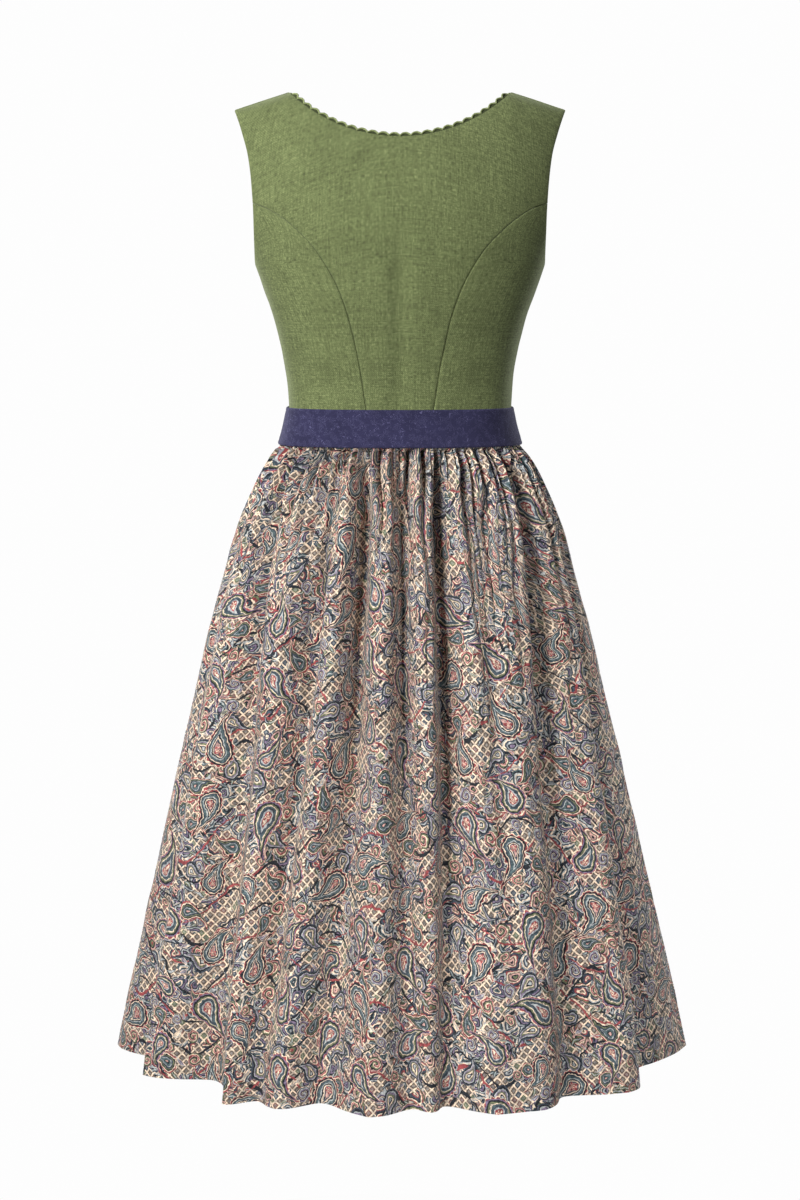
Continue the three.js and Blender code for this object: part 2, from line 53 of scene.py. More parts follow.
NECK_HALF = 130.5
SHOULDER_HALF = 195.0
SHOULDER_FALL = 21.0
NECK_BACK = -54.0
UNDERARM = -202.0
RIDGE_FULL = -45.0
BACK_SEAM_TOP = -131.0
FRONT_SEAM_TOP = -129.0
BAND_TOP = -369.5
BAND_BOTTOM = -413.5
SKIRT_TOP = -404.0
HEM = -1152.0
BODY_POWER = 2.35
SKIRT_POWER = 2.06
SKIRT_EASE = 110.0
QUARTER = math.pi / 2
TURN = 2 * math.pi

# Half the bodice's width by height.
BODICE_WIDTHS = [
    (-385, 131.6), (-367, 132.2), (-339, 134.4), (-309, 138.9), (-270, 147.8), (-237, 159),
    (-202, 171.2), (-180, 178), (-150, 188), (-110, 197), (-60, 201), (0, 204),
]
# Drop below the shoulder's ridge, and the bodice's depth there at the back and at the front.
BODICE_DEPTHS = [
    (0, 0, 0), (4, 18, 17), (12, 32, 29), (27, 46, 42), (54, 63, 58), (90, 80, 76), (130, 92, 94),
    (180, 98, 114), (235, 97, 125), (300, 90, 117), (340, 85, 104.5), (385, 82, 97),
]
# Height, and the distance of an edge or a seam from the centre there.
BACK_ARMHOLE = [
    (-202, 171.2), (-183, 171.3), (-142, 172), (-110, 173.8), (-77, 178), (-47, 186), (-21, 195),
]
BACK_PRINCESS = [
    (-385, 37.5), (-340, 43.9), (-285, 54.2), (-235, 69.5), (-190, 94.4),
    (-160, 122), (-140, 149.5), (-131, 168.5), (-129, 172.4),
]
FRONT_ARMHOLE = [
    (-202, 171.2), (-190, 163.5), (-170, 157), (-145, 153.6), (-118, 153.4),
    (-90, 157), (-60, 166), (-38, 179), (-21, 195),
]
FRONT_PRINCESS = [
    (-385, 62), (-367, 65), (-325, 73), (-280, 83), (-235, 94), (-205, 102.5),
    (-180, 112), (-158, 125), (-140, 140.5), (-129, 151.5), (-127, 153.5),
]
FRONT_NECK = [
    (-166, 0.2), (-164.4, 34), (-160, 59), (-152, 80), (-140, 96),
    (-122, 107.5), (-100, 115), (-70, 121), (-35, 126), (0, 130.5),
]
BACK_TIP = (-134.4, -131.4)
FRONT_TIP = (-132.4, -129.6)
SEAM_ROWS = [-385, -352, -312, -275, -238, -202]
BACK_ROWS = [-185, -168, -153, -141, -134]
FRONT_ROWS = [-185, -172, -160, -150, -140, -132]
NECK_ROW = 7
NECK_CLOSING = 1.35
STRAP_ROWS = [-106, -76, -50, -34, -25, -21]

# Height, half width, back depth and front depth.
BAND_SECTIONS = [(-413.5, 145.8, 92.5, 108.6), (-391.5, 139.8, 88.8, 105.4), (-369.5, 135.2, 86.6, 103)]
SKIRT_SECTIONS = [
    (-1152, 346, 287, 292), (-1092, 334, 275, 281), (-993, 311, 250, 258), (-894, 288.5, 225, 235),
    (-796, 266, 201, 212), (-698, 243, 178, 190), (-601, 219.6, 155, 168), (-553, 206, 143, 156),
    (-505, 190.8, 130, 144), (-470, 176.5, 119, 133), (-440, 161.5, 106, 120), (-428, 153.5, 99, 114),
    (-415, 142.8, 89.6, 105.6), (-404, 139, 86.4, 102.4),
]
# Large folds, crest and valley in turn, from the centre front round the left side, the back and the
# right side: the angle from the centre back at the waist, half way down and at the hem, how far out
# of the section part way down and at the hem, and how crisp the edge on the way to the next row is.
SKIRT_FOLDS = [
    (-180, -180, -180, 0, -2, 0.2), (-170, -171, -172, -24, -24, 0.3), (-160, -163, -165, 2, 3, 0.2),
    (-150, -154, -157, -18, -22, 0.4), (-139, -143, -147, 3, 5, 0.2), (-127, -131, -134, -26, -36, 0.3),
    (-115, -118, -120, 3, 4, 0.3), (-103, -105, -106, -20, -38, 0.3), (-91, -92, -93, 0, 0, 0.2),
    (-79, -79, -79, -10, -42, 0.4), (-67, -66, -65, 3, -12, 0.2), (-57, -53, -50, -38, -66, 0.7),
    (-44, -38, -35, 5, 2, 0.0), (-26, -28.5, -30, -34, -26, 0.3), (-19, -21.5, -24, 5, -6, 0.1),
    (-13, -13, -16.5, -40, -42, 0.4), (-6, -5, -5.5, 4, 4, 0.1), (0.5, 1.2, 2.6, -32, -28, 0.3),
    (7, 6.4, 5.6, 3, -14, 0.1), (14.5, 12.3, 9, -40, -36, 0.4), (22, 20, 17.5, 4, 6, 0.1),
    (30, 25, 22, -4, 5, 0.1), (43, 32, 27, 4, 6, 0.2), (56, 46, 36, -38, -30, 0.4),
    (68, 57, 49, 3, 2, 0.0), (80, 69, 65, -28, -46, 0.5), (91, 91, 92, 0, 5, 0.2),
    (103, 105, 107, -24, -38, 0.3), (116, 119, 121, 3, 4, 0.3), (128, 131, 134, -20, -24, 0.3),
    (140, 143, 146, 3, 6, 0.2), (151, 153, 155, -26, -30, 0.4), (161, 163, 164, 2, 0, 0.2),
    (171, 172, 172, -20, -20, 0.2), (180, 180, 180, 0, -2, 0.2),
]
# Height, and the shares of a fold's middle and end sizes there.
FOLD_GROWTH = [
    (-1152, 0, 1), (-900, 0.55, 0.45), (-650, 1, 0), (-500, 0.75, 0),
    (-440, 0.35, 0), (-416, 0, 0), (-404, 0, 0),
]
LEFT_SEAM_FOLD = 8
RIGHT_SEAM_FOLD = 26
CENTRE_BACK_FOLD = 17

# ---------------- curves through the tables


def through(rows, at, value):
    """A smooth curve through two columns of a table, with no overshoot."""
    table = np.array(sorted((row[at], row[value]) for row in rows), float)
    xs, ys = table[:, 0], table[:, 1]
    steps = np.diff(xs)
    rises = np.diff(ys) / steps
    slopes = np.empty(len(xs))
    slopes[0], slopes[-1] = rises[0], rises[-1]
    before, after = rises[:-1], rises[1:]
    total = np.where(before + after == 0, 1, before + after)
    slopes[1:-1] = np.where(before * after <= 0, 0, 2 * before * after / total)

    def curve(x):
        x = np.clip(x, xs[0], xs[-1])
        i = np.clip(np.searchsorted(xs, x, side="right") - 1, 0, len(steps) - 1)
        t = (x - xs[i]) / steps[i]
        late = t * t * (3 - 2 * t)
        bend = steps[i] * t * (1 - t) * ((1 - t) * slopes[i] - t * slopes[i + 1])
        return ys[i] * (1 - late) + ys[i + 1] * late + bend

    return curve


def ease(share):
    share = np.clip(share, 0, 1)
    return share * share * (3 - 2 * share)


def lerp(a, b, share):
    return a + (b - a) * share


def signed_power(value, power):
    return np.sign(value) * np.abs(value) ** power


def across(angle, power):
    return signed_power(np.sin(angle), 2 / power)


def along(angle, power):
    return signed_power(np.cos(angle), 2 / power)


def place(x, y, z):
    x, y, z = np.broadcast_arrays(x, y, z)
    return np.stack([x, y, z], axis=-1).astype(float)


def unit(vectors):
    return vectors / np.linalg.norm(vectors, axis=-1, keepdims=True)


def outward(point, turn, z, small=0.003):
    """The outward direction of a surface, by small steps round and up it."""
    side = point(turn + small, z) - point(turn - small, z)
    up = point(turn, z + 0.4) - point(turn, z - 0.4)
    return unit(np.cross(side, up))


# ---------------- the bodice's surface

# Below this drop from the ridge the cloth faces out, and above it up.
RIDGE_ROLL = 3
bodice_half = through(BODICE_WIDTHS, 0, 1)
depth_rows = [(math.sqrt(drop), back, front) for drop, back, front in BODICE_DEPTHS]
back_depth = through(depth_rows, 0, 1)
front_depth = through(depth_rows, 0, 2)


def ridge(x, z):
    out = np.maximum(0, np.abs(x) - NECK_HALF) / (SHOULDER_HALF - NECK_HALF)
    return -SHOULDER_FALL * out * ease((z - UNDERARM) / (RIDGE_FULL - UNDERARM))


def bodice_point(angle, z):
    x = bodice_half(z) * across(angle, BODY_POWER)
    root = np.sqrt(np.maximum(0, ridge(x, z) - z))
    inward = along(angle, BODY_POWER)
    depth = np.where(inward > 0, back_depth(root), front_depth(root))
    return place(x, -depth * inward, z)


def bodice_normal(angle, z):
    here = bodice_point(angle, z)
    drop = ridge(here[..., 0], z) - z
    slope = np.sign(here[..., 0]) * SHOULDER_FALL / (SHOULDER_HALF - NECK_HALF)
    low = outward(bodice_point, angle, z - np.maximum(0, RIDGE_ROLL - drop))
    share = np.clip(drop / RIDGE_ROLL, 0, 1)[..., None]
    return unit(lerp(unit(place(slope, 0, 1)), low, share))


def angle_at(x, z, on_front):
    sine = np.minimum(1, np.abs(x) / bodice_half(z)) ** (BODY_POWER / 2)
    angle = np.arcsin(sine)
    return np.where(np.asarray(x) < 0, -1, 1) * (math.pi - angle if on_front else angle)


def beside(point, seam, step, z):
    """A seam's parameter, moved by half a tight gap on the side that step points to."""
    speed = np.linalg.norm(point(seam + step, z) - point(seam, z), axis=-1) / abs(step)
    return seam + math.copysign(TIGHT_GAP / 2, step) / speed


# ---------------- meshes


def select_only(obj):
    for other in bpy.context.selected_objects:
        other.select_set(False)
    obj.select_set(True)
    bpy.context.view_layer.objects.active = obj


def new_piece(name, points, faces, *cloths):
    """An object from points in millimetres, selected alone."""
    mesh = bpy.data.meshes.new(name)
    mesh.from_pydata((points * MM).tolist(), [], faces)
    obj = bpy.data.objects.new(name, mesh)
    bpy.context.scene.collection.objects.link(obj)
    for cloth in cloths:
        mesh.materials.append(cloth)
    select_only(obj)
    return obj


def smoothed(obj, degrees):
    bpy.ops.object.shade_smooth_by_angle(angle=math.radians(degrees))
    obj.select_set(False)
    return obj


def grid_faces(rows, columns):
    r, c = np.meshgrid(np.arange(rows - 1), np.arange(columns - 1), indexing="ij")
    first = (r * columns + c).ravel()
    return np.stack([first, first + 1, first + columns + 1, first + columns], axis=1)


def cloth_sheet(name, points, chart, thickness, material):
    """A thin shell from a grid of points in millimetres, with the cloth's flat chart as its UV map."""
    rows, columns = points.shape[:2]
    faces = grid_faces(rows, columns)
    row, column = rows // 2, columns // 2
    middle = points[row, column]
    side = points[row, column + 1] - middle
    up = points[row + 1, column] - middle
    if np.dot(np.cross(side, up), middle * (1, 1, 0)) < 0:
        faces = faces[:, ::-1]
    obj = new_piece(name, points.reshape(-1, 3), faces.tolist(), material)
    layer = obj.data.uv_layers.new(name="Cloth")
    layer.data.foreach_set("uv", (chart.reshape(-1, 2) * MM)[faces.ravel()].ravel())
    wall = obj.modifiers.new("wall", "SOLIDIFY")
    wall.thickness = thickness * MM
    wall.offset = -1
    wall.use_even_offset = False
    bpy.ops.object.modifier_apply(modifier=wall.name)
    return smoothed(obj, 50)


def run_of(points, axis):
    """Length along a grid's rows or columns, from their first point."""
    steps = np.linalg.norm(np.diff(points, axis=axis), axis=-1)
    start = np.zeros_like(np.take(steps, [0], axis=axis))
    return np.cumsum(np.concatenate([start, steps], axis=axis), axis=axis)


def chart_of(points):
    """A cloth grid's flat chart: distance round from its middle column, and height along it."""
    round_it = run_of(points, 1)
    middle = round_it[:, [points.shape[1] // 2]]
    return np.stack([round_it - middle, run_of(points, 0)], axis=-1)


def uneven(points, size, seed):
    """Soft noise between -1 and 1 over a grid, with features of about size millimetres."""
    spread = np.array(size, float)
    flat = points.reshape(-1, 3) / spread + seed * 17.3
    values = [cloth_noise.noise(Vector(p)) for p in flat]
    return np.array(values).reshape(points.shape[:2])


def rolled(count, start=True, end=True):
    """Shares from 0 to 1 with extra ones close to an edge that is turned in."""
    shares = np.linspace(0, 1, count)
    near = np.array([0.004, 0.010, 0.018])
    extra = np.concatenate([near if start else [], 1 - near if end else []])
    return np.unique(np.concatenate([shares, extra]))


def turned_in(points, normals, distance, depth, reach):
    """Turns an edge in: depth at no distance from it, and nothing from reach on."""
    share = np.clip(1 - distance / reach, 0, 1)
    return points - normals * (depth * (1 - np.sqrt(1 - share**2)))[..., None]


def tucked(points, normals, past_side):
    """Adds seam allowances under the neighbours: past the first column, past the last row and, on the
    front panels, past the side seam, with the armhole's edge faced back under the panel itself."""
    under = points[:, 0] - normals[:, 0] * ALLOWANCE_DEPTH
    sideways = unit(points[:, 0] - points[:, 1])
    sides = [(under + sideways * ALLOWANCE)[:, None], under[:, None], points]
    turns = [normals[:, :1], normals[:, :1], normals]
    if past_side:
        under = points[:, -1] - normals[:, -1] * ALLOWANCE_DEPTH
        sideways = unit(points[:, -1] - points[:, -2])
        breadth = np.linalg.norm(points[:, 0] - points[:, -1], axis=1)
        facing = np.minimum(ARMHOLE_FACING, 0.4 * breadth)
        way = np.where(points[:, -1, 2] < UNDERARM - 1, ALLOWANCE, -facing)[:, None]
        sides += [under[:, None], (under + sideways * way)[:, None]]
        turns += [normals[:, -1:], normals[:, -1:]]
    first = 2
    points = np.concatenate(sides, axis=1)
    normals = np.concatenate(turns, axis=1)
    inward = unit(points[-1, first] - points[-1, -3 if past_side else -1])
    upwards = unit(unit(points[-1] - points[-3]) + ALLOWANCE_LEAN * inward)
    under = points[-1] - normals[-1] * ALLOWANCE_DEPTH
    under[:first] = points[-1, :first]
    if past_side:
        under[-2:] = points[-1, -2:]
    return np.concatenate([points, under[None], (under + upwards * ALLOWANCE)[None]], axis=0)


def dense(rows):
    """A table's heights with even steps put between them."""
    result = [rows[0]]
    for low, high in zip(rows[:-1], rows[1:]):
        count = max(1, round((high - low) / GRID_STEP))
        result.extend(np.linspace(low, high, count + 1)[1:])
    return np.array(result, float)


# ---------------- the bodice's panels

back_armhole = through(BACK_ARMHOLE, 0, 1)
back_princess = through(BACK_PRINCESS, 0, 1)
front_armhole = through(FRONT_ARMHOLE, 0, 1)
front_princess = through(FRONT_PRINCESS, 0, 1)

NECK_RADIUS = (NECK_HALF**2 + NECK_BACK**2) / (2 * -NECK_BACK)
SEAM_TURN = 1.4
SEAM_REACH = 2.6
EDGE_TURN = 1.0
EDGE_REACH = 2.6
ALLOWANCE = 6.0
ALLOWANCE_DEPTH = 3.1
ALLOWANCE_LEAN = 1.3
ARMHOLE_FACING = 4.2
GRID_STEP = 3.4
ROW_PARTS = 6
CREASE_WIDTH = 13.0
CREASE_DEPTH = 3.4
CREASE_TOP = -110.0


def back_neck(x):
    return NECK_BACK + NECK_RADIUS - np.sqrt(NECK_RADIUS**2 - x * x)


def shoulder_seam(x):
    return -SHOULDER_FALL * (np.abs(x) - NECK_HALF) / (SHOULDER_HALF - NECK_HALF)


def half_gap(edge, z):
    return SEAM_GAP / 2 * np.hypot(1, (edge(z + 1) - edge(z - 1)) / 2)


def strap_share(z, seam_top):
    return np.clip((z - seam_top) / (-SHOULDER_FALL - seam_top), 0, 1) ** 1.5


def panel_side(z, seam_top, princess, armhole):
    return np.where(z >= seam_top, armhole(z), princess(z) - half_gap(princess, z))


def off_ridge(points, normals, on_front):
    """Parts the shoulder seam's two edges by half its gap each."""
    top = np.abs(points[-1, :, 1]) < 1
    points[-1, top, 1] = (1 if on_front else -1) * SEAM_GAP / 2
    normals[-1, top, 1] = 0
    normals[-1] = unit(normals[-1])


def settled(points, normals, seed):
    """The slight unevenness of worn cloth, strongest near the waist."""
    low = ease((-150 - points[..., 2]) / 200)
    drag = uneven(points, (46, 60, 34), seed) * lerp(0.5, 1.3, low)
    return points + normals * drag[..., None]


def seamed(points, normals):
    """Turns in a panel's two side edges."""
    round_it = run_of(points, 1)
    points = turned_in(points, normals, round_it, SEAM_TURN * 0.7, SEAM_REACH)
    return turned_in(points, normals, round_it[:, [-1]] - round_it, SEAM_TURN, SEAM_REACH)


def centre_back():
    rows = dense(SEAM_ROWS + BACK_ROWS + [BACK_SEAM_TOP] + STRAP_ROWS)[:, None]
    tip = angle_at(SHOULDER_HALF, -SHOULDER_FALL, False)
    neck_end = float(angle_at(NECK_HALF, 0, False) / tip)
    neck = np.linspace(0, neck_end, 36)
    strap = neck_end + (1 - neck_end) * rolled(16, start=False)
    right = np.unique(np.round(np.concatenate([neck, strap[1:]]), 7))
    shares = np.concatenate([-right[:0:-1], right])
    z = np.full(len(shares), -SHOULDER_FALL)
    for _ in range(12):
        x = np.abs(bodice_half(z) * across(shares * tip, BODY_POWER))
        on_neck = np.abs(shares) < neck_end - 1e-6
        z = np.where(on_neck, back_neck(np.minimum(x, NECK_HALF)), shoulder_seam(x))
    lift = (z + SHOULDER_FALL)[None, :] * strap_share(rows, BACK_SEAM_TOP)
    side = panel_side(rows, BACK_SEAM_TOP, back_princess, back_armhole)
    angle = angle_at(side, rows, False) * shares[None, :]
    height = rows + lift
    points = bodice_point(angle, height)
    normals = bodice_normal(angle, height)
    off_ridge(points, normals, False)
    points = settled(points, normals, 1)
    crease = np.exp(-((points[..., 0] / CREASE_WIDTH) ** 2)) * ease(points[..., 2] / CREASE_TOP - 1)
    points = points - normals * (CREASE_DEPTH * crease)[..., None]
    round_it = run_of(points, 1)
    from_side = np.minimum(round_it, round_it[:, [-1]] - round_it)
    points = turned_in(points, normals, from_side, SEAM_TURN, SEAM_REACH)
    up = run_of(points, 0)
    return turned_in(points, normals, up[[-1], :] - up, EDGE_TURN * 0.6, EDGE_REACH)


def side_panel(sign, on_front):
    princess, armhole = (front_princess, front_armhole) if on_front else (back_princess, back_armhole)
    heights = SEAM_ROWS + (FRONT_ROWS if on_front else BACK_ROWS)
    tip = FRONT_TIP if on_front else BACK_TIP
    rows = dense(heights)[:, None]
    shares = rolled(40)[None, :]
    turn = 0.002 if on_front else -0.002
    rise = ease((rows - heights[-2]) / (heights[-1] - heights[-2]))
    z = rows + rise * (lerp(*tip, shares) - heights[-1])
    start = angle_at(princess(rows) + half_gap(princess, rows), rows, on_front)
    end = np.where(z > UNDERARM, angle_at(armhole(z), z, on_front), beside(bodice_point, QUARTER, turn, z))
    angle = sign * lerp(start, end, shares)
    points = bodice_point(angle, z)
    normals = bodice_normal(angle, z)
    points = seamed(settled(points, normals, 2 + on_front + sign), normals)
    return tucked(points, normals, on_front)


neck_steps = np.hypot(np.diff([x for _, x in FRONT_NECK]), np.diff([z for z, _ in FRONT_NECK]))
neck_run = np.concatenate([[0], np.cumsum(neck_steps)])
neck_rows = [(run, z, x) for run, (z, x) in zip(neck_run, FRONT_NECK)]
front_neck_z = through(neck_rows, 0, 1)
front_neck_x = through(neck_rows, 0, 2)


def centre_front(sign):
    heights = SEAM_ROWS + FRONT_ROWS + [FRONT_SEAM_TOP] + STRAP_ROWS
    index = np.linspace(0, len(heights) - 1, (len(heights) - 1) * ROW_PARTS + 1)[:, None]
    rows = np.interp(index, np.arange(len(heights)), heights)
    left = np.clip((len(heights) - 1 - index) / (len(heights) - 1 - NECK_ROW), 0, 1)
    run = neck_run[-1] * (1 - left**NECK_CLOSING)
    inner_x = np.where(index < NECK_ROW, TIGHT_GAP / 2, np.maximum(TIGHT_GAP / 2, front_neck_x(run)))
    inner_z = np.where(index < NECK_ROW, rows, front_neck_z(run))
    side = panel_side(rows, FRONT_SEAM_TOP, front_princess, front_armhole)
    shares = rolled(44)[None, :]
    x = lerp(inner_x, side, shares)
    z = lerp(inner_z, rows, shares)
    z[-1] = shoulder_seam(x[-1])
    angle = sign * angle_at(x, z, True)
    points = bodice_point(angle, z)
    normals = bodice_normal(angle, z)
    off_ridge(points, normals, True)
    return seamed(settled(points, normals, 7 + sign), normals)


# ---------------- the waistband

BAND_EDGE_ROWS = [0, 0.35, 0.9, 1.7, 2.8]
BAND_STITCH = 4.6
BAND_INNER_ROWS = 4.4
BAND_TURN = 1.2
band_half = through(BAND_SECTIONS, 0, 1)
band_back = through(BAND_SECTIONS, 0, 2)
band_front = through(BAND_SECTIONS, 0, 3)


def band_point(angle, z):
    inward = along(angle, BODY_POWER)
    depth = np.where(inward > 0, band_back(z), band_front(z))
    return place(band_half(z) * across(angle, BODY_POWER), -depth * inward, z)


def waistband(start, end, count, seed):
    middle = (BAND_TOP + BAND_BOTTOM) / 2
    first = beside(band_point, start, 0.002, middle)
    last = beside(band_point, end, -0.002, middle)
    angle = lerp(first, last, rolled(count))[None, :]
    edge = np.array(BAND_EDGE_ROWS)
    tall = BAND_TOP - BAND_BOTTOM
    inside = np.linspace(BAND_INNER_ROWS, tall - BAND_INNER_ROWS, 12)
    z = (BAND_BOTTOM + np.concatenate([edge, inside, tall - edge[::-1]]))[:, None]
    points = band_point(angle, z)
    normals = outward(band_point, angle, np.clip(z, BAND_BOTTOM + 0.5, BAND_TOP - 0.5))
    points = points + normals * (0.5 * uneven(points, (60, 60, 30), seed))[..., None]
    from_edge = np.minimum(z - BAND_BOTTOM, BAND_TOP - z) * np.ones_like(angle)
    points = turned_in(points, normals, from_edge, BAND_TURN, SEAM_REACH)
    # A line of stitching presses the cloth in along each edge.
    pressed = np.exp(-(((from_edge - BAND_STITCH) / 0.9) ** 2))
    return points - normals * (0.25 * pressed)[..., None]


# ---------------- the skirt

skirt_half = through(SKIRT_SECTIONS, 0, 1)
skirt_back = through(SKIRT_SECTIONS, 0, 2)
skirt_front = through(SKIRT_SECTIONS, 0, 3)
middle_share = through(FOLD_GROWTH, 0, 1)
end_share = through(FOLD_GROWTH, 0, 2)
folds = np.array(SKIRT_FOLDS, float)


def gather_series(count, seed):
    """Uneven gathers round the waist: where each starts, how deep it is and how far it runs down."""
    order = np.random.default_rng(seed)
    widths = order.uniform(0.6, 1.5, count)
    starts = np.concatenate([[0], np.cumsum(widths)])
    return starts / starts[-1], order.uniform(0.45, 1.25, count), order.uniform(0.5, 1.5, count)


GATHERS_END = -520.0
GATHERS_FADE = 120.0
# How round a gather is under the band and further down, and its height that lies on the section.
GATHER_ARCH = (0.9, 0.38)
GATHER_MIDDLE = 0.84
# Number of gathers, depth in millimetres, how far they run down, and a seed, from fine to broad.
GATHERS = [(118, 11.0, 42, 11), (76, 15.0, 85, 3), (46, 13.0, 170, 5), (30, 9.0, 380, 8)]
gathers = [(gather_series(count, seed), deep, long) for count, deep, long, seed in GATHERS]


def gathered(share, z):
    """How far the gathers stand out at a share of the way round, and a height."""
    below = np.maximum(0, BAND_BOTTOM - 0.5 - z)
    sway = 0.0028 * np.sin(z / 55 + share * 41) + 0.0016 * np.sin(z / 21 + share * 97)
    share = np.clip(share + sway * ease(below / 60), 0, 1)
    total = 0
    for (starts, sizes, lengths), deep, long in gathers:
        k = np.clip(np.searchsorted(starts, share, side="right") - 1, 0, len(sizes) - 1)
        inside = (share - starts[k]) / (starts[k + 1] - starts[k])
        arch = np.sin(math.pi * np.clip(inside, 0, 1)) ** lerp(*GATHER_ARCH, ease(below / GATHERS_FADE))
        fade = np.exp(-((below / (long * lengths[k])) ** 1.6))
        total = total + deep * sizes[k] * (arch - GATHER_MIDDLE) * fade
    return total * ease(below / 5)


def fold_angle(i, down):
    early = lerp(folds[i, 0], folds[i, 1], np.clip(down * 2, 0, 1))
    return np.where(down < 0.5, early, lerp(folds[i, 1], folds[i, 2], np.clip(down * 2 - 1, 0, 1)))


def skirt_point(position, z):
    """The skirt's point at a position along its folds, counted in rows of the table, and a height."""
    position, z = np.broadcast_arrays(np.asarray(position, float), np.asarray(z, float))
    i = np.clip(np.floor(position).astype(int), 0, len(folds) - 2)
    t = position - i
    down = (SKIRT_TOP - z) / (SKIRT_TOP - HEM)
    angle = np.radians(lerp(fold_angle(i, down), fold_angle(i + 1, down), t))
    here = folds[i, 3] * middle_share(z) + folds[i, 4] * end_share(z)
    there = folds[i + 1, 3] * middle_share(z) + folds[i + 1, 4] * end_share(z)
    falling = here > there
    deepening = np.clip(np.where(falling, t, 1 - t), 0, 1)
    soft = ((1 - np.cos(math.pi * deepening)) / 2) ** lerp(2.6, 1.5, down)
    sharp = 1 - (1 - deepening) ** 2.8
    share = lerp(soft, sharp, folds[i, 5] * ease(down * 1.6))
    out = np.where(falling, lerp(here, there, share), lerp(there, here, share))
    at_waist = lerp(folds[i, 0], folds[i + 1, 0], t)
    out = out + gathered((at_waist + 180) / 360, z)
    power = lerp(BODY_POWER, SKIRT_POWER, ease((SKIRT_TOP - z) / SKIRT_EASE))
    inward = along(angle, power)
    depth = np.where(inward > 0, skirt_back(z), skirt_front(z)) + out
    return place((skirt_half(z) + out) * across(angle, power), -depth * inward, z)


def skirt_panel(start, end, columns_a_fold, seed):
    heights = np.concatenate([
        np.linspace(HEM, -640, 62),
        np.linspace(-640, -470, 34)[1:],
        np.linspace(-470, -413.5, 24)[1:],
        np.array([-411, -408, -404]),
    ])[:, None]
    count = (end - start) * columns_a_fold + 1
    first = beside(skirt_point, start, 0.002, heights)
    last = beside(skirt_point, end, -0.002, heights)
    position = lerp(first, last, np.linspace(0, 1, count)[None, :])
    points = skirt_point(position, heights)
    normals = outward(skirt_point, position, np.clip(heights, HEM + 0.5, SKIRT_TOP - 0.5), 0.02)
    free = ease((-425 - heights) / 120)
    crumple = 1.5 * uneven(points, (38, 38, 90), seed) + 0.7 * uneven(points, (15, 15, 30), seed + 1)
    return points + normals * (crumple * free)[..., None]


def skirt_chart(points, middle):
    """The print's chart: length round the cloth from its middle column, and the drop from the waist.
    Among the gathers every thread keeps to its own column."""
    round_it = run_of(points, 1)
    round_it = round_it - round_it[:, [middle]]
    heights = points[:, :1, 2]
    gathers = (heights[:, 0] > GATHERS_END) & (heights[:, 0] < BAND_BOTTOM - 4)
    held = round_it[gathers].mean(axis=0, keepdims=True)
    round_it = lerp(round_it, held, ease((heights - GATHERS_END) / GATHERS_FADE + 1))
    return np.stack([round_it, points[..., 2] - SKIRT_TOP], axis=-1)


# ---------------- the neck's braid

SCALLOP_PITCH = 12.6
SCALLOP_LOW = 1.2
SCALLOP_HIGH = 5.0
CORD_RADIUS = 1.1
CORD_SIDES = 8
CORD_TWIST = 3.3
BRAID_END = 1.2
BRAID_STEPS = 10
CORD_DEPTH = 0.35
# The web's section, from the edge up to the cord and back behind: the share of the scallop's
# height, the height above that, and the depth.
WEB_SECTION = [(0, 0.3, 0.7), (0.5, 0, 0.95), (1, 0, 0.85), (1, 0, 1.35), (0.5, 0, 1.6), (0, 0.3, 1.5)]
OPENING = np.array([0, 20, 40.0])


def sampled_edge(points, normals, lengths):
    """Points and directions at given lengths along an edge."""
    run = np.concatenate([[0], np.cumsum(np.linalg.norm(np.diff(points, axis=0), axis=1))])
    at = np.stack([np.interp(lengths, run, points[:, k]) for k in range(3)], axis=1)
    facing = np.stack([np.interp(lengths, run, normals[:, k]) for k in range(3)], axis=1)
    return at, unit(facing)


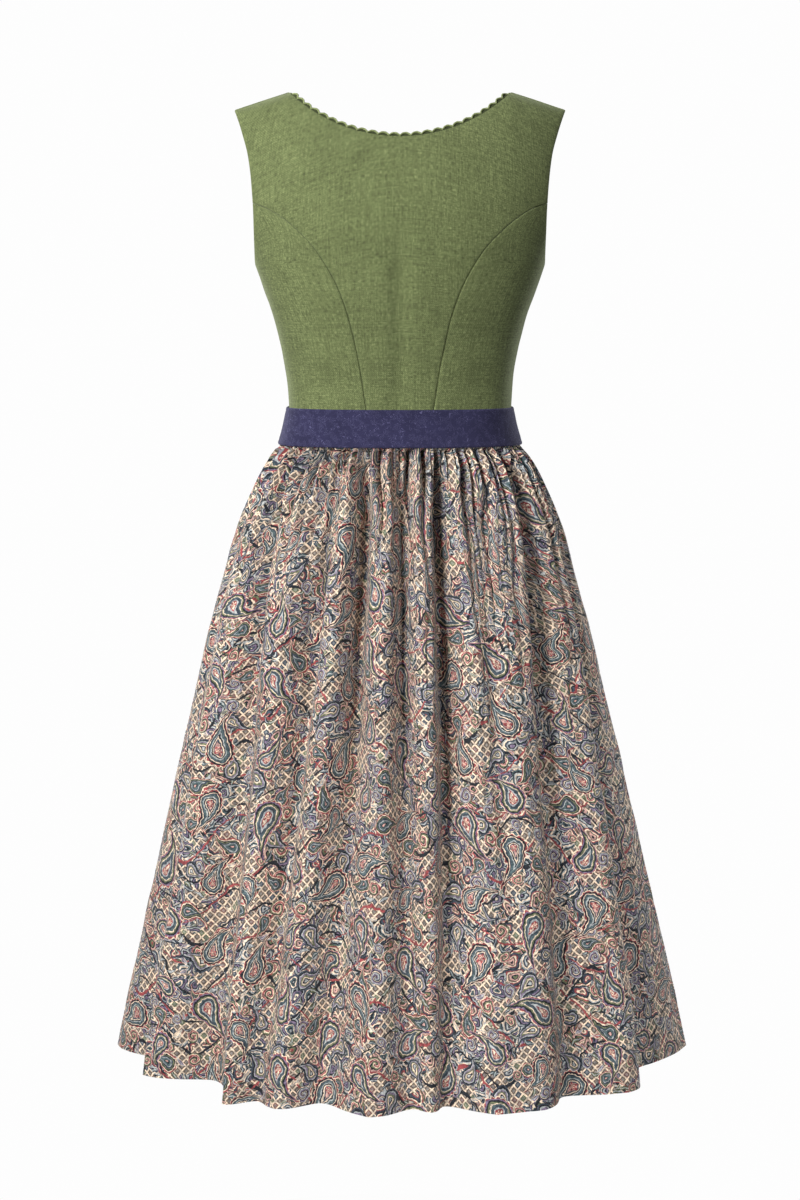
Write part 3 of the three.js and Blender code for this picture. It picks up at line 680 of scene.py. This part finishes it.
def braid(name, edge, normals, cord_cloth, shaded_web_cloth):
    """A flat web from the edge up to scallops, with a round cord along the scallops."""
    total = np.linalg.norm(np.diff(edge, axis=0), axis=1).sum()
    scallops = round(total / SCALLOP_PITCH)
    lengths = np.linspace(BRAID_END, total - BRAID_END, scallops * BRAID_STEPS + 1)
    at, facing = sampled_edge(edge, normals, lengths)
    ahead = np.gradient(at, axis=0)
    rise = unit(np.cross(ahead, facing))
    rise *= np.sign(np.sum(rise * (OPENING - at), axis=1, keepdims=True))
    arch = np.abs(np.sin(math.pi * np.arange(len(lengths)) / BRAID_STEPS)) ** 0.8
    high = lerp(SCALLOP_LOW, SCALLOP_HIGH, arch)
    centre = at + rise * high[:, None] - facing * CORD_DEPTH
    web_rows = []
    for share, more, deep in WEB_SECTION:
        web_rows.append(at + rise * (share * high + more)[:, None] - facing * deep)
    upward = np.cross(unit(np.gradient(centre, axis=0)), facing)
    upward *= np.sign(np.sum(upward * rise, axis=1, keepdims=True))
    twist = np.arange(len(lengths)) * TURN / CORD_TWIST
    rings = []
    for k in range(CORD_SIDES):
        turn = TURN * k / CORD_SIDES
        swell = CORD_RADIUS * (1 + 0.14 * np.cos(2 * turn - twist))[:, None]
        rings.append(centre + upward * math.cos(turn) * swell + facing * math.sin(turn) * swell)
    vertices, faces, cloths = [], [], []
    for loop, cloth in ((web_rows, 1), (rings, 0)):
        here = len(vertices) + np.arange(len(lengths) * len(loop)).reshape(len(lengths), len(loop))
        beyond = np.roll(here, -1, axis=1)
        vertices += np.array(loop).transpose(1, 0, 2).reshape(-1, 3).tolist()
        walls = np.stack([here[:-1], beyond[:-1], beyond[1:], here[1:]], axis=-1).reshape(-1, 4)
        faces += [*walls.tolist(), here[0, ::-1].tolist(), here[-1].tolist()]
        cloths += [cloth] * (len(walls) + 2)
    obj = new_piece(name, np.array(vertices), faces, cord_cloth, shaded_web_cloth)
    obj.data.polygons.foreach_set("material_index", cloths)
    bpy.ops.object.mode_set(mode="EDIT")
    bpy.ops.mesh.select_all(action="SELECT")
    bpy.ops.mesh.normals_make_consistent(inside=False)
    bpy.ops.object.mode_set(mode="OBJECT")
    return smoothed(obj, 60)


# ---------------- node helpers


class Amount:
    """A value that varies over the cloth: a number or, when wide, a place. Sums of it make nodes."""

    def __init__(self, shader, socket, wide=False):
        self.socket = socket
        self.make = shader.vector if wide else shader.math


def working(operation):
    return lambda amount, *others: amount.make(operation, amount, *others)


for sign, operation in {
    "__add__": "ADD", "__sub__": "SUBTRACT", "__mul__": "MULTIPLY", "__truediv__": "DIVIDE",
    "__pow__": "POWER", "__abs__": "ABSOLUTE", "__lt__": "LESS_THAN", "__gt__": "GREATER_THAN",
    "fraction": "FRACT", "floor": "FLOOR", "sine": "SINE",
}.items():
    setattr(Amount, sign, working(operation))


class Shader:
    """Makes a material's nodes, one call to a node."""

    def __init__(self, name):
        self.material = bpy.data.materials.new(name)
        self.material.use_nodes = True
        self.tree = self.material.node_tree
        self.cloth = self.tree.nodes["Principled BSDF"]

    def node(self, kind, inputs=None, **settings):
        made = self.tree.nodes.new(kind)
        for key, value in settings.items():
            setattr(made, key, value)
        for key, value in (inputs or {}).items():
            self.feed(made.inputs[key], value)
        return made

    def feed(self, socket, value):
        if isinstance(value, Amount):
            value = value.socket
        if isinstance(value, bpy.types.NodeSocket):
            self.tree.links.new(value, socket)
        else:
            socket.default_value = value

    def math(self, operation, a, b=0.0, c=0.0, clamp=False):
        made = self.node("ShaderNodeMath", {0: a, 1: b, 2: c}, operation=operation, use_clamp=clamp)
        return Amount(self, made.outputs[0])

    def vector(self, operation, a, b=0.0):
        b = (b, b, b) if isinstance(b, float) else b
        made = self.node("ShaderNodeVectorMath", {0: a, 1: b}, operation=operation)
        if operation == "LENGTH":
            return Amount(self, made.outputs["Value"])
        return Amount(self, made.outputs["Vector"], wide=True)

    def joined(self, x, y):
        return self.node("ShaderNodeCombineXYZ", {0: x, 1: y}).outputs[0]

    def parted(self, vector):
        made = self.node("ShaderNodeSeparateXYZ", {0: vector})
        return [Amount(self, socket) for socket in made.outputs]

    def noises(self, vector, scale, detail, roughness, dimensions):
        inputs = {"Vector": vector, "Scale": scale, "Detail": detail, "Roughness": roughness}
        return self.node("ShaderNodeTexNoise", inputs, noise_dimensions=dimensions).outputs

    def noise(self, vector, scale, detail=2.0, roughness=0.5, dimensions="2D"):
        return Amount(self, self.noises(vector, scale, detail, roughness, dimensions)["Fac"])

    def sway(self, vector, scale, detail=2.0):
        """A noise for each direction, for bending a pattern."""
        return Amount(self, self.noises(vector, scale, detail, 0.5, "2D")["Color"], wide=True)

    def chance(self, vector):
        made = self.node("ShaderNodeTexWhiteNoise", {"Vector": vector}, noise_dimensions="2D")
        return self.parted(made.outputs["Color"])

    def ramp(self, share, stops, kind="LINEAR"):
        made = self.node("ShaderNodeValToRGB")
        made.color_ramp.interpolation = kind
        elements = made.color_ramp.elements
        while len(elements) < len(stops):
            elements.new(0.5)
        for element, (position, _) in zip(elements, stops):
            element.position = position
        for element, (_, colour) in zip(elements, stops):
            element.color = (*colour, 1) if isinstance(colour, tuple) else (colour, colour, colour, 1)
        self.feed(made.inputs[0], share)
        return made.outputs[0]

    def steps(self, share, stops):
        return self.ramp(share, stops, "CONSTANT")

    def blend(self, share, a, b, kind="MIX"):
        a, b = [(*colour, 1) if isinstance(colour, tuple) else colour for colour in (a, b)]
        made = self.node("ShaderNodeMix", data_type="RGBA", blend_type=kind)
        for key, value in {"Factor": share, 6: a, 7: b}.items():
            self.feed(made.inputs[key], value)
        return made.outputs[2]

    def toned(self, colour, share, tones, kind="LINEAR"):
        """A colour made darker or lighter by tones along a share."""
        return self.blend(1.0, colour, self.ramp(share, tones, kind), "MULTIPLY")

    def bump(self, height, strength, distance):
        inputs = {"Height": height, "Strength": strength, "Distance": distance}
        return self.node("ShaderNodeBump", inputs).outputs[0]

    def chart(self):
        """The cloth's own flat chart, in millimetres."""
        made = self.node("ShaderNodeUVMap", uv_map="Cloth")
        return self.vector("MULTIPLY", made.outputs[0], 1 / MM)

    def reach(self, x, y):
        """Distance of a place from the centre."""
        return self.math("SQRT", x * x + y * y)

    def finish(self, colour, normal, roughness, sheen=0.0, sheen_tint=(1, 1, 1)):
        if normal is not None:
            self.feed(self.cloth.inputs["Normal"], normal)
        for key, value in {
            "Base Color": colour, "Roughness": roughness, "Specular IOR Level": 0.25,
            "Sheen Weight": sheen, "Sheen Roughness": 0.5, "Sheen Tint": (*sheen_tint, 1),
        }.items():
            self.feed(self.cloth.inputs[key], value)
        return self.material


def srgb(code):
    """A colour from its web code, as the linear values that nodes take."""
    parts = [int(code[i : i + 2], 16) / 255 for i in (0, 2, 4)]
    return tuple(c / 12.92 if c <= 0.04045 else ((c + 0.055) / 1.055) ** 2.4 for c in parts)


# ---------------- plain cloths

GREEN_SHEEN = (0.8, 0.9, 0.6)
RIB_PITCH = 2.5


def green_twill(name, dark, middle, light):
    """Heathered wool: uneven threads both ways, a slanting rib and very soft darker drifts."""
    s = Shader(name)
    mm = s.chart()
    lying = s.noise(mm * (0.16, 1.0, 1.0), 1.25, 1.0, 0.6)
    standing = s.noise(mm * (1.0, 0.16, 1.0), 1.25, 1.0, 0.6)
    x, y, _ = s.parted(mm)
    rib = ((x + y) * (TURN / RIB_PITCH)).sine()
    grain = s.noise(mm, 1.1, 1.0, 0.7)
    mixed = (lying + standing) * 0.44 + grain * 0.12 + rib * 0.06
    colour = s.ramp(mixed, [(0.33, dark), (0.5, middle), (0.67, light)])
    long_lying = s.noise(mm * (0.03, 0.6, 1.0), 0.9, 1.0, 0.6)
    long_standing = s.noise(mm * (0.6, 0.03, 1.0), 0.9, 1.0, 0.6)
    colour = s.toned(colour, (long_lying + long_standing) * 0.5, [(0.36, 0.8), (0.64, 1.2)])
    colour = s.toned(colour, s.noise(mm, 0.02), [(0.3, (0.93, 0.93, 0.92)), (0.7, 1.05)])
    return s.finish(colour, s.bump(mixed, 0.35, 0.0006), 0.92, 0.2, GREEN_SHEEN)


def plain_yarn(name, colour, light):
    """Twisted yarn of the braid."""
    s = Shader(name)
    where = s.node("ShaderNodeTexCoord").outputs["Object"]
    fibres = s.noise(where, 900.0, dimensions="3D")
    tone = s.ramp(fibres, [(0.35, colour), (0.7, light)])
    return s.finish(tone, s.bump(fibres, 0.4, 0.0004), 0.85, 0.2, GREEN_SHEEN)


def curled_pile(name):
    """Dark violet blue cloth whose fine fibres curl in paler threads."""
    s = Shader(name)
    mm = s.chart()
    curling = s.noise(mm + s.sway(mm, 0.12, 1.0) * 9.0, 0.13, 0.5)
    line = abs((curling * 10.0).fraction() - 0.5)
    hair = line < (s.noise(mm, 0.14) > 0.47) * 0.075
    fibres = s.noise(mm, 0.9, 2.0, 0.7)
    ground = s.ramp(fibres, [(0.3, srgb("22213A")), (0.7, srgb("302F50"))])
    tone = s.blend(hair * 0.4, ground, srgb("7C7AA6"))
    tone = s.toned(tone, s.noise(mm, 0.03), [(0.3, (0.85, 0.85, 0.875)), (0.7, 1.1)])
    return s.finish(tone, s.bump(fibres + hair * 0.4, 0.4, 0.0006), 0.95, 0.12, (0.7, 0.7, 1.0))


# ---------------- the skirt's print

INK = srgb("22262D")
SLATE = srgb("3E4854")
TEAL = srgb("4C5F63")
PALE = srgb("A5ABAC")
CREAM = srgb("DDCCB6")
BLUSH = srgb("BE9A92")
TAUPE = srgb("6C5E52")
BROWN = srgb("5F5149")
RED = srgb("93474A")
MAUVE = srgb("796C84")
OLIVE = srgb("697055")
CLAY = srgb("7A5A52")
TRELLIS_PITCH = 10.4
CURL_PITCH = 4.4
LEAF_HALF_LENGTH = 5.6


def cells(s, mm, wide, tall, jitter):
    """Parts the cloth into half-drop cells: the place in a cell, in millimetres, and its chances."""
    x, y, _ = s.parted(mm)
    column = x / wide
    index = column.floor()
    row = y / tall + s.math("WRAP", index, 2.0, 0.0) * 0.5
    chances = s.chance(s.joined(index, row.floor()))
    inside_x = (column.fraction() - 0.5) * wide + (chances[1] - 0.5) * jitter
    inside_y = (row.fraction() - 0.5) * tall + (chances[2] - 0.5) * jitter
    return s.joined(inside_x, inside_y), chances


def turned(s, inside, chances, swing, smallest=0.8, largest=1.25):
    """Turns and scales a motif by its cell's chances."""
    angle = (chances[0] - 0.5) * swing + (chances[1] > 0.5) * math.pi
    inputs = {"Vector": inside, "Angle": angle}
    rotate = s.node("ShaderNodeVectorRotate", inputs, rotation_type="Z_AXIS")
    size = (chances[2] * 7.0).fraction() * (largest - smallest) + smallest
    x, y, _ = s.parted(rotate.outputs[0])
    mirror = (chances[2] > 0.5) * 2.0 - 1.0
    return x * mirror / size, y / size


def teardrop(s, x, y, length, radius, hook):
    """Distance from a hooked teardrop's outline, negative inside, and the place from its round centre."""
    y = y + (length - radius) / 2
    x = x + (s.math("MAXIMUM", y, 0.0) / length) ** 2.4 * hook
    wide = abs(x)
    slope = radius / length
    flank = math.sqrt(1 - slope * slope)
    beside_it = y * flank - wide * slope
    ball = s.reach(wide, y) - radius
    cone = wide * flank + y * slope - radius
    near = ball + (beside_it > 0.0) * (cone - ball)
    near = near + (beside_it > flank * length) * (s.reach(wide, y - length) - near)
    return near, x, y


def banded(s, near, deepest, edge, stops):
    """Bands of colour by the distance from an outline, from the middle out to the edge."""
    share = s.math("DIVIDE", near + deepest, deepest + edge, clamp=True)
    return s.steps(share, [((at + deepest) / (deepest + edge), colour) for at, colour in stops])


def leaves(s, ground, mm, wide, tall, shown_part, fills, edge):
    """Small pointed leaves with a vein, turned any way, over a ground."""
    inside, chances = cells(s, mm, wide, tall, 6.0)
    x, y = turned(s, inside, chances, 6.0, 0.8, 1.4)
    bowed = abs(y * y * 0.05 + x)
    along_it = y / LEAF_HALF_LENGTH
    near = along_it * along_it + bowed / 2.0
    fill = s.steps((chances[1] * 5.0).fraction(), fills)
    leaf = s.blend(near > 0.74, fill, edge)
    leaf = s.blend(bowed < 0.4, leaf, PALE)
    return s.blend((near < 1.0) * (chances[0] < shown_part), ground, leaf)


def curls(s, ground, mm):
    """Small snail curls in two tones, over a ground."""
    inside, chances = cells(s, mm + (7.0, 19.0, 0.0), 29.0, 33.0, 9.0)
    x, y = turned(s, inside, chances, 6.0, 0.75, 1.3)
    out = s.reach(x, y)
    wound = (out / CURL_PITCH + s.math("ARCTAN2", y, x) / TURN).fraction()
    cool = s.steps(wound, [(0, INK), (0.2, MAUVE), (0.45, PALE), (0.7, SLATE), (0.86, CREAM)])
    warm = s.steps(wound, [(0, RED), (0.22, CREAM), (0.42, OLIVE), (0.66, INK), (0.84, BLUSH)])
    curl = s.blend(chances[1] > 0.6, cool, warm)
    return s.blend((out < 7.4) * (chances[0] < 0.62), ground, curl)


def stems(s, ground, mm, apart, swing, thickness, ink):
    """Stems of even width that wind across the cloth, over a ground."""
    x, y, _ = s.parted(mm)
    wind = (x / swing).sine() * swing + (y / (apart / 2)).sine() * (swing / 2) + y
    from_line = abs((wind / apart).fraction() - 0.5)
    return s.blend(from_line < thickness, ground, ink)


def trellis(s, mm):
    """Pale crossing lines round small diamonds."""
    x, y, _ = s.parted(mm)
    one = (x + y) / TRELLIS_PITCH
    two = (x - y) / TRELLIS_PITCH
    out = s.math("MAXIMUM", abs(one.fraction() - 0.5), abs(two.fraction() - 0.5))
    pick = s.chance(s.joined(one.floor(), two.floor()))[0]
    diamond = s.steps(pick, [(0, TAUPE), (0.5, BROWN), (0.66, OLIVE), (0.76, CLAY), (0.88, SLATE)])
    diamond = s.blend(out < 0.2, diamond, s.blend(0.35, diamond, PALE))
    return s.blend(out > 0.38, diamond, CREAM)


def brushed_strokes(s, mm, flat):
    """Petals and strokes that ring round scattered points, and where they cover the trellis."""
    spread = s.node("ShaderNodeTexVoronoi", {"Vector": mm, "Scale": 1 / 17.0}, voronoi_dimensions="2D")
    first, second, third = s.parted(spread.outputs["Color"])
    away_x, away_y, _ = s.parted(mm - spread.outputs["Position"])
    turn = s.math("ARCTAN2", away_y, away_x)
    lobes = (turn * 3.0 + first * TURN).sine()
    slant = (turn * 2.0 + second * TURN).sine()
    out = s.reach(away_x, away_y) * (lobes * 0.14 + slant * 0.24 + 1.0)
    ring = (out / 15.0 + third * 0.6).fraction()
    cool = s.steps(ring, [
        (0, PALE), (0.1, INK), (0.19, TEAL), (0.31, CREAM), (0.39, SLATE),
        (0.5, MAUVE), (0.6, INK), (0.68, PALE), (0.79, SLATE), (0.9, CREAM),
    ])
    warm = s.steps(ring, [
        (0, CREAM), (0.1, RED), (0.2, OLIVE), (0.32, INK), (0.41, BLUSH),
        (0.52, TAUPE), (0.62, CREAM), (0.7, RED), (0.78, SLATE), (0.9, INK),
    ])
    strokes = s.blend((first * 9.0).fraction() > 0.62, cool, warm)
    return strokes, s.noise(flat, 0.03, 1.0) + (second - 0.5) * 0.22 > 0.5


def middling_paisleys(s, ground, mm):
    inside, chances = cells(s, mm + (13.0, 31.0, 0.0), 41.0, 50.0, 10.0)
    x, y = turned(s, inside, chances, 4.6)
    near, _, _ = teardrop(s, x, y, 19.0, 7.6, 13.0)
    dark = banded(s, near, 7.6, 2.3, [
        (-7.6, BLUSH), (-6.4, INK), (-5.6, TEAL), (-3.9, PALE), (-3.2, SLATE),
        (-1.6, OLIVE), (-0.7, INK), (0.2, CREAM), (1.1, RED),
    ])
    mild = banded(s, near, 7.6, 2.3, [
        (-7.6, PALE), (-6.0, INK), (-4.9, CREAM), (-3.7, OLIVE),
        (-2.3, MAUVE), (-1.1, PALE), (-0.2, INK), (1.1, SLATE),
    ])
    drop = s.blend(chances[2] > 0.5, dark, mild)
    return s.blend((near < 2.3) * (chances[0] < 0.86), ground, drop)


def large_paisleys(s, ground, mm):
    """Large paisleys with a scalloped outline and a flower in the middle."""
    inside, chances = cells(s, mm + (37.0, 8.0, 0.0), 63.0, 78.0, 12.0)
    x, y = turned(s, inside, chances, 2.0, 0.8, 1.25)
    near, x, y = teardrop(s, x, y, 31.0, 12.0, 22.0)
    dark = banded(s, near, 12.0, 1.6, [
        (-12.0, BLUSH), (-8.4, SLATE), (-7.2, CREAM), (-6.2, INK), (-5.0, PALE),
        (-3.9, TEAL), (-2.1, SLATE), (-0.9, CREAM), (0.0, INK),
    ])
    mild = banded(s, near, 12.0, 1.6, [
        (-12.0, CREAM), (-8.8, RED), (-7.8, PALE), (-6.2, SLATE), (-4.6, TEAL),
        (-3.2, CREAM), (-2.3, OLIVE), (-1.0, INK), (0.5, MAUVE),
    ])
    drop = s.blend(chances[2] > 0.45, dark, mild)
    round_it = s.math("ARCTAN2", y, x)
    petals = s.math("COSINE", round_it * 5.0) * 1.5
    flower = s.reach(x, y) - 3.0 - petals
    drop = s.blend(flower < 0.0, drop, RED)
    drop = s.blend(flower < -2.2, drop, CREAM)
    edge = (round_it * 15.0).sine() * 0.7 + near
    rim = s.blend(edge < 2.5, CREAM, RED)
    return s.blend(near < 1.6, s.blend(edge < 3.4, ground, rim), drop)


def paisley_print(name):
    s = Shader(name)
    flat = s.chart()
    waver = s.sway(flat, 0.045) - 0.5
    mm = flat + waver * 8.0 + (s.sway(flat, 0.24, 1.0) - 0.5) * 2.2
    strokes, covered = brushed_strokes(s, mm, flat)
    colour = s.blend(covered, trellis(s, flat + waver * 4.0), strokes)
    colour = stems(s, colour, mm, 43.0, 17.0, 0.034, INK)
    colour = stems(s, colour, mm + (21.0, 16.0, 0.0), 61.0, 23.0, 0.018, RED)
    cool_fills = [(0, SLATE), (0.3, TEAL), (0.55, PALE), (0.75, OLIVE)]
    warm_fills = [(0, OLIVE), (0.3, MAUVE), (0.5, CREAM), (0.7, RED), (0.85, SLATE)]
    colour = leaves(s, colour, mm, 16.0, 19.0, 0.45, cool_fills, INK)
    colour = leaves(s, colour, mm + (9.0, 4.0, 0.0), 19.0, 17.0, 0.42, warm_fills, CREAM)
    colour = leaves(s, colour, mm + (3.0, 13.0, 0.0), 23.0, 21.0, 0.45, cool_fills, INK)
    colour = curls(s, colour, mm)
    colour = middling_paisleys(s, colour, mm)
    colour = large_paisleys(s, colour, mm)
    # Short strokes inside the motifs, uneven inking and the thread of the cloth.
    dashes = [(0, (0.66, 0.66, 0.69)), (0.42, (0.88, 0.88, 0.9)), (0.48, 1), (0.57, (1.32, 1.28, 1.26))]
    colour = s.toned(colour, s.noise(mm, 0.25, 1.0, 0.6), dashes, "CONSTANT")
    inking = [(0.3, (0.75, 0.75, 0.77)), (0.62, (1.15, 1.13, 1.12))]
    colour = s.toned(colour, s.noise(flat, 0.6, 2.0, 0.7), inking)
    thread = s.noise(flat * (1.0, 0.25, 1.0), 1.6, 1.0)
    return s.finish(colour, s.bump(thread, 0.25, 0.0004), 0.85, 0.12, (1, 0.95, 0.9))


# ---------------- the camera, lights and floor

EYE = (0.0, -3.4, -0.214)
EYE_DROP = math.radians(6.5)
LENS = 85.56

camera_data = bpy.data.cameras.new("eye")
camera_data.lens = LENS
camera_data.sensor_width = 36
camera = bpy.data.objects.new("eye", camera_data)
camera.location = EYE
camera.rotation_euler = (QUARTER - EYE_DROP, 0, 0)
bpy.context.scene.collection.objects.link(camera)
bpy.context.scene.camera = camera


def lamp(name, kind, place_at, aim, power, **settings):
    data = bpy.data.lights.new(name, kind)
    data.energy = power
    for key, value in settings.items():
        setattr(data, key, value)
    light = bpy.data.objects.new(name, data)
    light.location = place_at
    light.rotation_euler = (Vector(aim) - Vector(place_at)).to_track_quat("-Z", "Y").to_euler()
    bpy.context.scene.collection.objects.link(light)


def soft_lamp(name, place_at, aim, size, power, tint=(1, 1, 1)):
    lamp(name, "AREA", place_at, aim, power, shape="DISK", size=size, color=tint)


soft_lamp("key", (-1.8, -2.75, 0.85), (0, 0, -0.6), 1.0, 122, (1.0, 0.985, 0.96))
soft_lamp("rake", (-1.25, -0.85, 0.8), (-0.15, -0.1, -0.12), 0.5, 20, (1.0, 0.99, 0.97))
soft_lamp("behind_left", (-2.0, 2.8, 1.2), (0, 0, -0.6), 1.6, 110)
soft_lamp("behind_right", (2.4, 2.4, 0.2), (0, 0, -0.6), 1.6, 80)
# A soft spot from low on the right lights the skirt and stops short of the bodice.
cone = {"spot_size": math.radians(26), "spot_blend": 1.0, "shadow_soft_size": 0.5}
lamp("low_fill", "SPOT", (1.9, -2.8, -1.0), (0.05, 0, -0.94), 235, **cone)

world = bpy.data.worlds.new("studio")
world.use_nodes = True
sky = world.node_tree.nodes["Background"]
seen = world.node_tree.nodes.new("ShaderNodeLightPath")
level = world.node_tree.nodes.new("ShaderNodeMapRange")
level.inputs["To Min"].default_value = 0.14
level.inputs["To Max"].default_value = 1.0
world.node_tree.links.new(seen.outputs["Is Camera Ray"], level.inputs["Value"])
world.node_tree.links.new(level.outputs["Result"], sky.inputs["Strength"])
sky.inputs["Color"].default_value = (0.985, 0.985, 0.985, 1)
bpy.context.scene.world = world
bpy.context.scene.view_settings.view_transform = "Standard"

FLOOR_Z = -1.5
FLOOR_RADIUS = 0.5
bpy.ops.mesh.primitive_circle_add(
    vertices=96, radius=FLOOR_RADIUS, fill_type="NGON", location=(0, 0, FLOOR_Z)
)
floor = bpy.context.object
floor.name = "floor"
paving = Shader("pale_floor")
out = paving.vector("LENGTH", paving.node("ShaderNodeTexCoord").outputs["Object"])
fade = paving.math("SMOOTH_MIN", out / (FLOOR_RADIUS * 0.95), 1.0, 0.1) ** 0.8
ground = paving.blend(fade, (0.84, 0.84, 0.84), (0, 0, 0))
paving.feed(paving.cloth.inputs["Emission Color"], (0.98, 0.98, 0.98, 1))
paving.feed(paving.cloth.inputs["Emission Strength"], fade)
floor.data.materials.append(paving.finish(ground, None, 1.0))
paving.cloth.inputs["Specular IOR Level"].default_value = 0.0

# ---------------- the finished dress

bodice_green = green_twill("green_twill", srgb("464E32"), srgb("5F6943"), srgb("7C865A"))
braid_green = plain_yarn("braid_cord", srgb("667047"), srgb("939E6F"))
# The braid's web is a darker copy of the cord's yarn: its own green with painted shade of the gap under the
# cord.
shaded_web_green = plain_yarn("braid_web_painted_shade", srgb("2B321C"), srgb("3E4628"))
band_blue = curled_pile("curled_blue")
skirt_print = paisley_print("paisley_print")


def fitted(obj, node):
    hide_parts(node)
    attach(obj, "root")
    return obj


panels = {
    "bodice_centre_back": centre_back(),
    "bodice_side_back_right": side_panel(1, False),
    "bodice_side_back_left": side_panel(-1, False),
    "bodice_side_front_right": side_panel(1, True),
    "bodice_side_front_left": side_panel(-1, True),
    "bodice_centre_front_right": centre_front(1),
    "bodice_centre_front_left": centre_front(-1),
}


def edge_normals(line, inner):
    """The outward directions along a panel's edge, from a line just inside it."""
    normal = unit(np.cross(np.gradient(line, axis=0), line - inner))
    away = line * (1, 1, 0) + (0, 0, 40)
    return normal * np.sign(np.sum(normal * away, axis=1, keepdims=True))


back = panels["bodice_centre_back"]
on_neck = np.abs(back[-1, :, 0]) <= NECK_HALF - 0.5
back_edge = back[-1, on_neck]
trims = {"neck_trim_back": (back_edge, edge_normals(back_edge, back[-3, on_neck]))}
for side in ("right", "left"):
    front = panels[f"bodice_centre_front_{side}"]
    start = NECK_ROW * ROW_PARTS
    line = front[start:, 0]
    trims[f"neck_trim_front_{side}"] = (line, edge_normals(line, front[start:, 4]))

for name, (line, normals) in trims.items():
    piece = braid(f"{name}_braid", line, normals, braid_green, shaded_web_green)
    fitted(piece, name)

for name, points in panels.items():
    piece = cloth_sheet(f"{name}_cloth", points, chart_of(points), BODICE_CLOTH, bodice_green)
    fitted(piece, name)

bands = {
    "waistband_back": waistband(-QUARTER, QUARTER, 130, 11),
    "waistband_front_right": waistband(QUARTER, math.pi, 70, 12),
    "waistband_front_left": waistband(-math.pi, -QUARTER, 70, 13),
}
for name, points in bands.items():
    piece = cloth_sheet(f"{name}_cloth", points, chart_of(points), BAND_CLOTH, band_blue)
    fitted(piece, name)

# Each skirt panel: the folds it runs between, its columns to a fold, and its width at the hem and at the
# waist.
BACK_HEM, BACK_WAIST = 1.2, 0.62
FRONT_HEM, FRONT_WAIST = 0.6, 0.31
skirts = {
    "skirt_back": (LEFT_SEAM_FOLD, RIGHT_SEAM_FOLD, 22, BACK_HEM, BACK_WAIST),
    "skirt_front_right": (RIGHT_SEAM_FOLD, len(folds) - 1, 21, FRONT_HEM, FRONT_WAIST),
    "skirt_front_left": (0, LEFT_SEAM_FOLD, 21, FRONT_HEM, FRONT_WAIST),
}
for name, (start, end, columns, hem_cut, waist_cut) in skirts.items():
    points = skirt_panel(start, end, columns, 21 + start)
    middle = (CENTRE_BACK_FOLD - start) * columns if name == "skirt_back" else points.shape[1] // 2
    chart = skirt_chart(points, middle)
    piece = cloth_sheet(f"{name}_cloth", points, chart, SKIRT_CLOTH, skirt_print)
    fitted(piece, name)
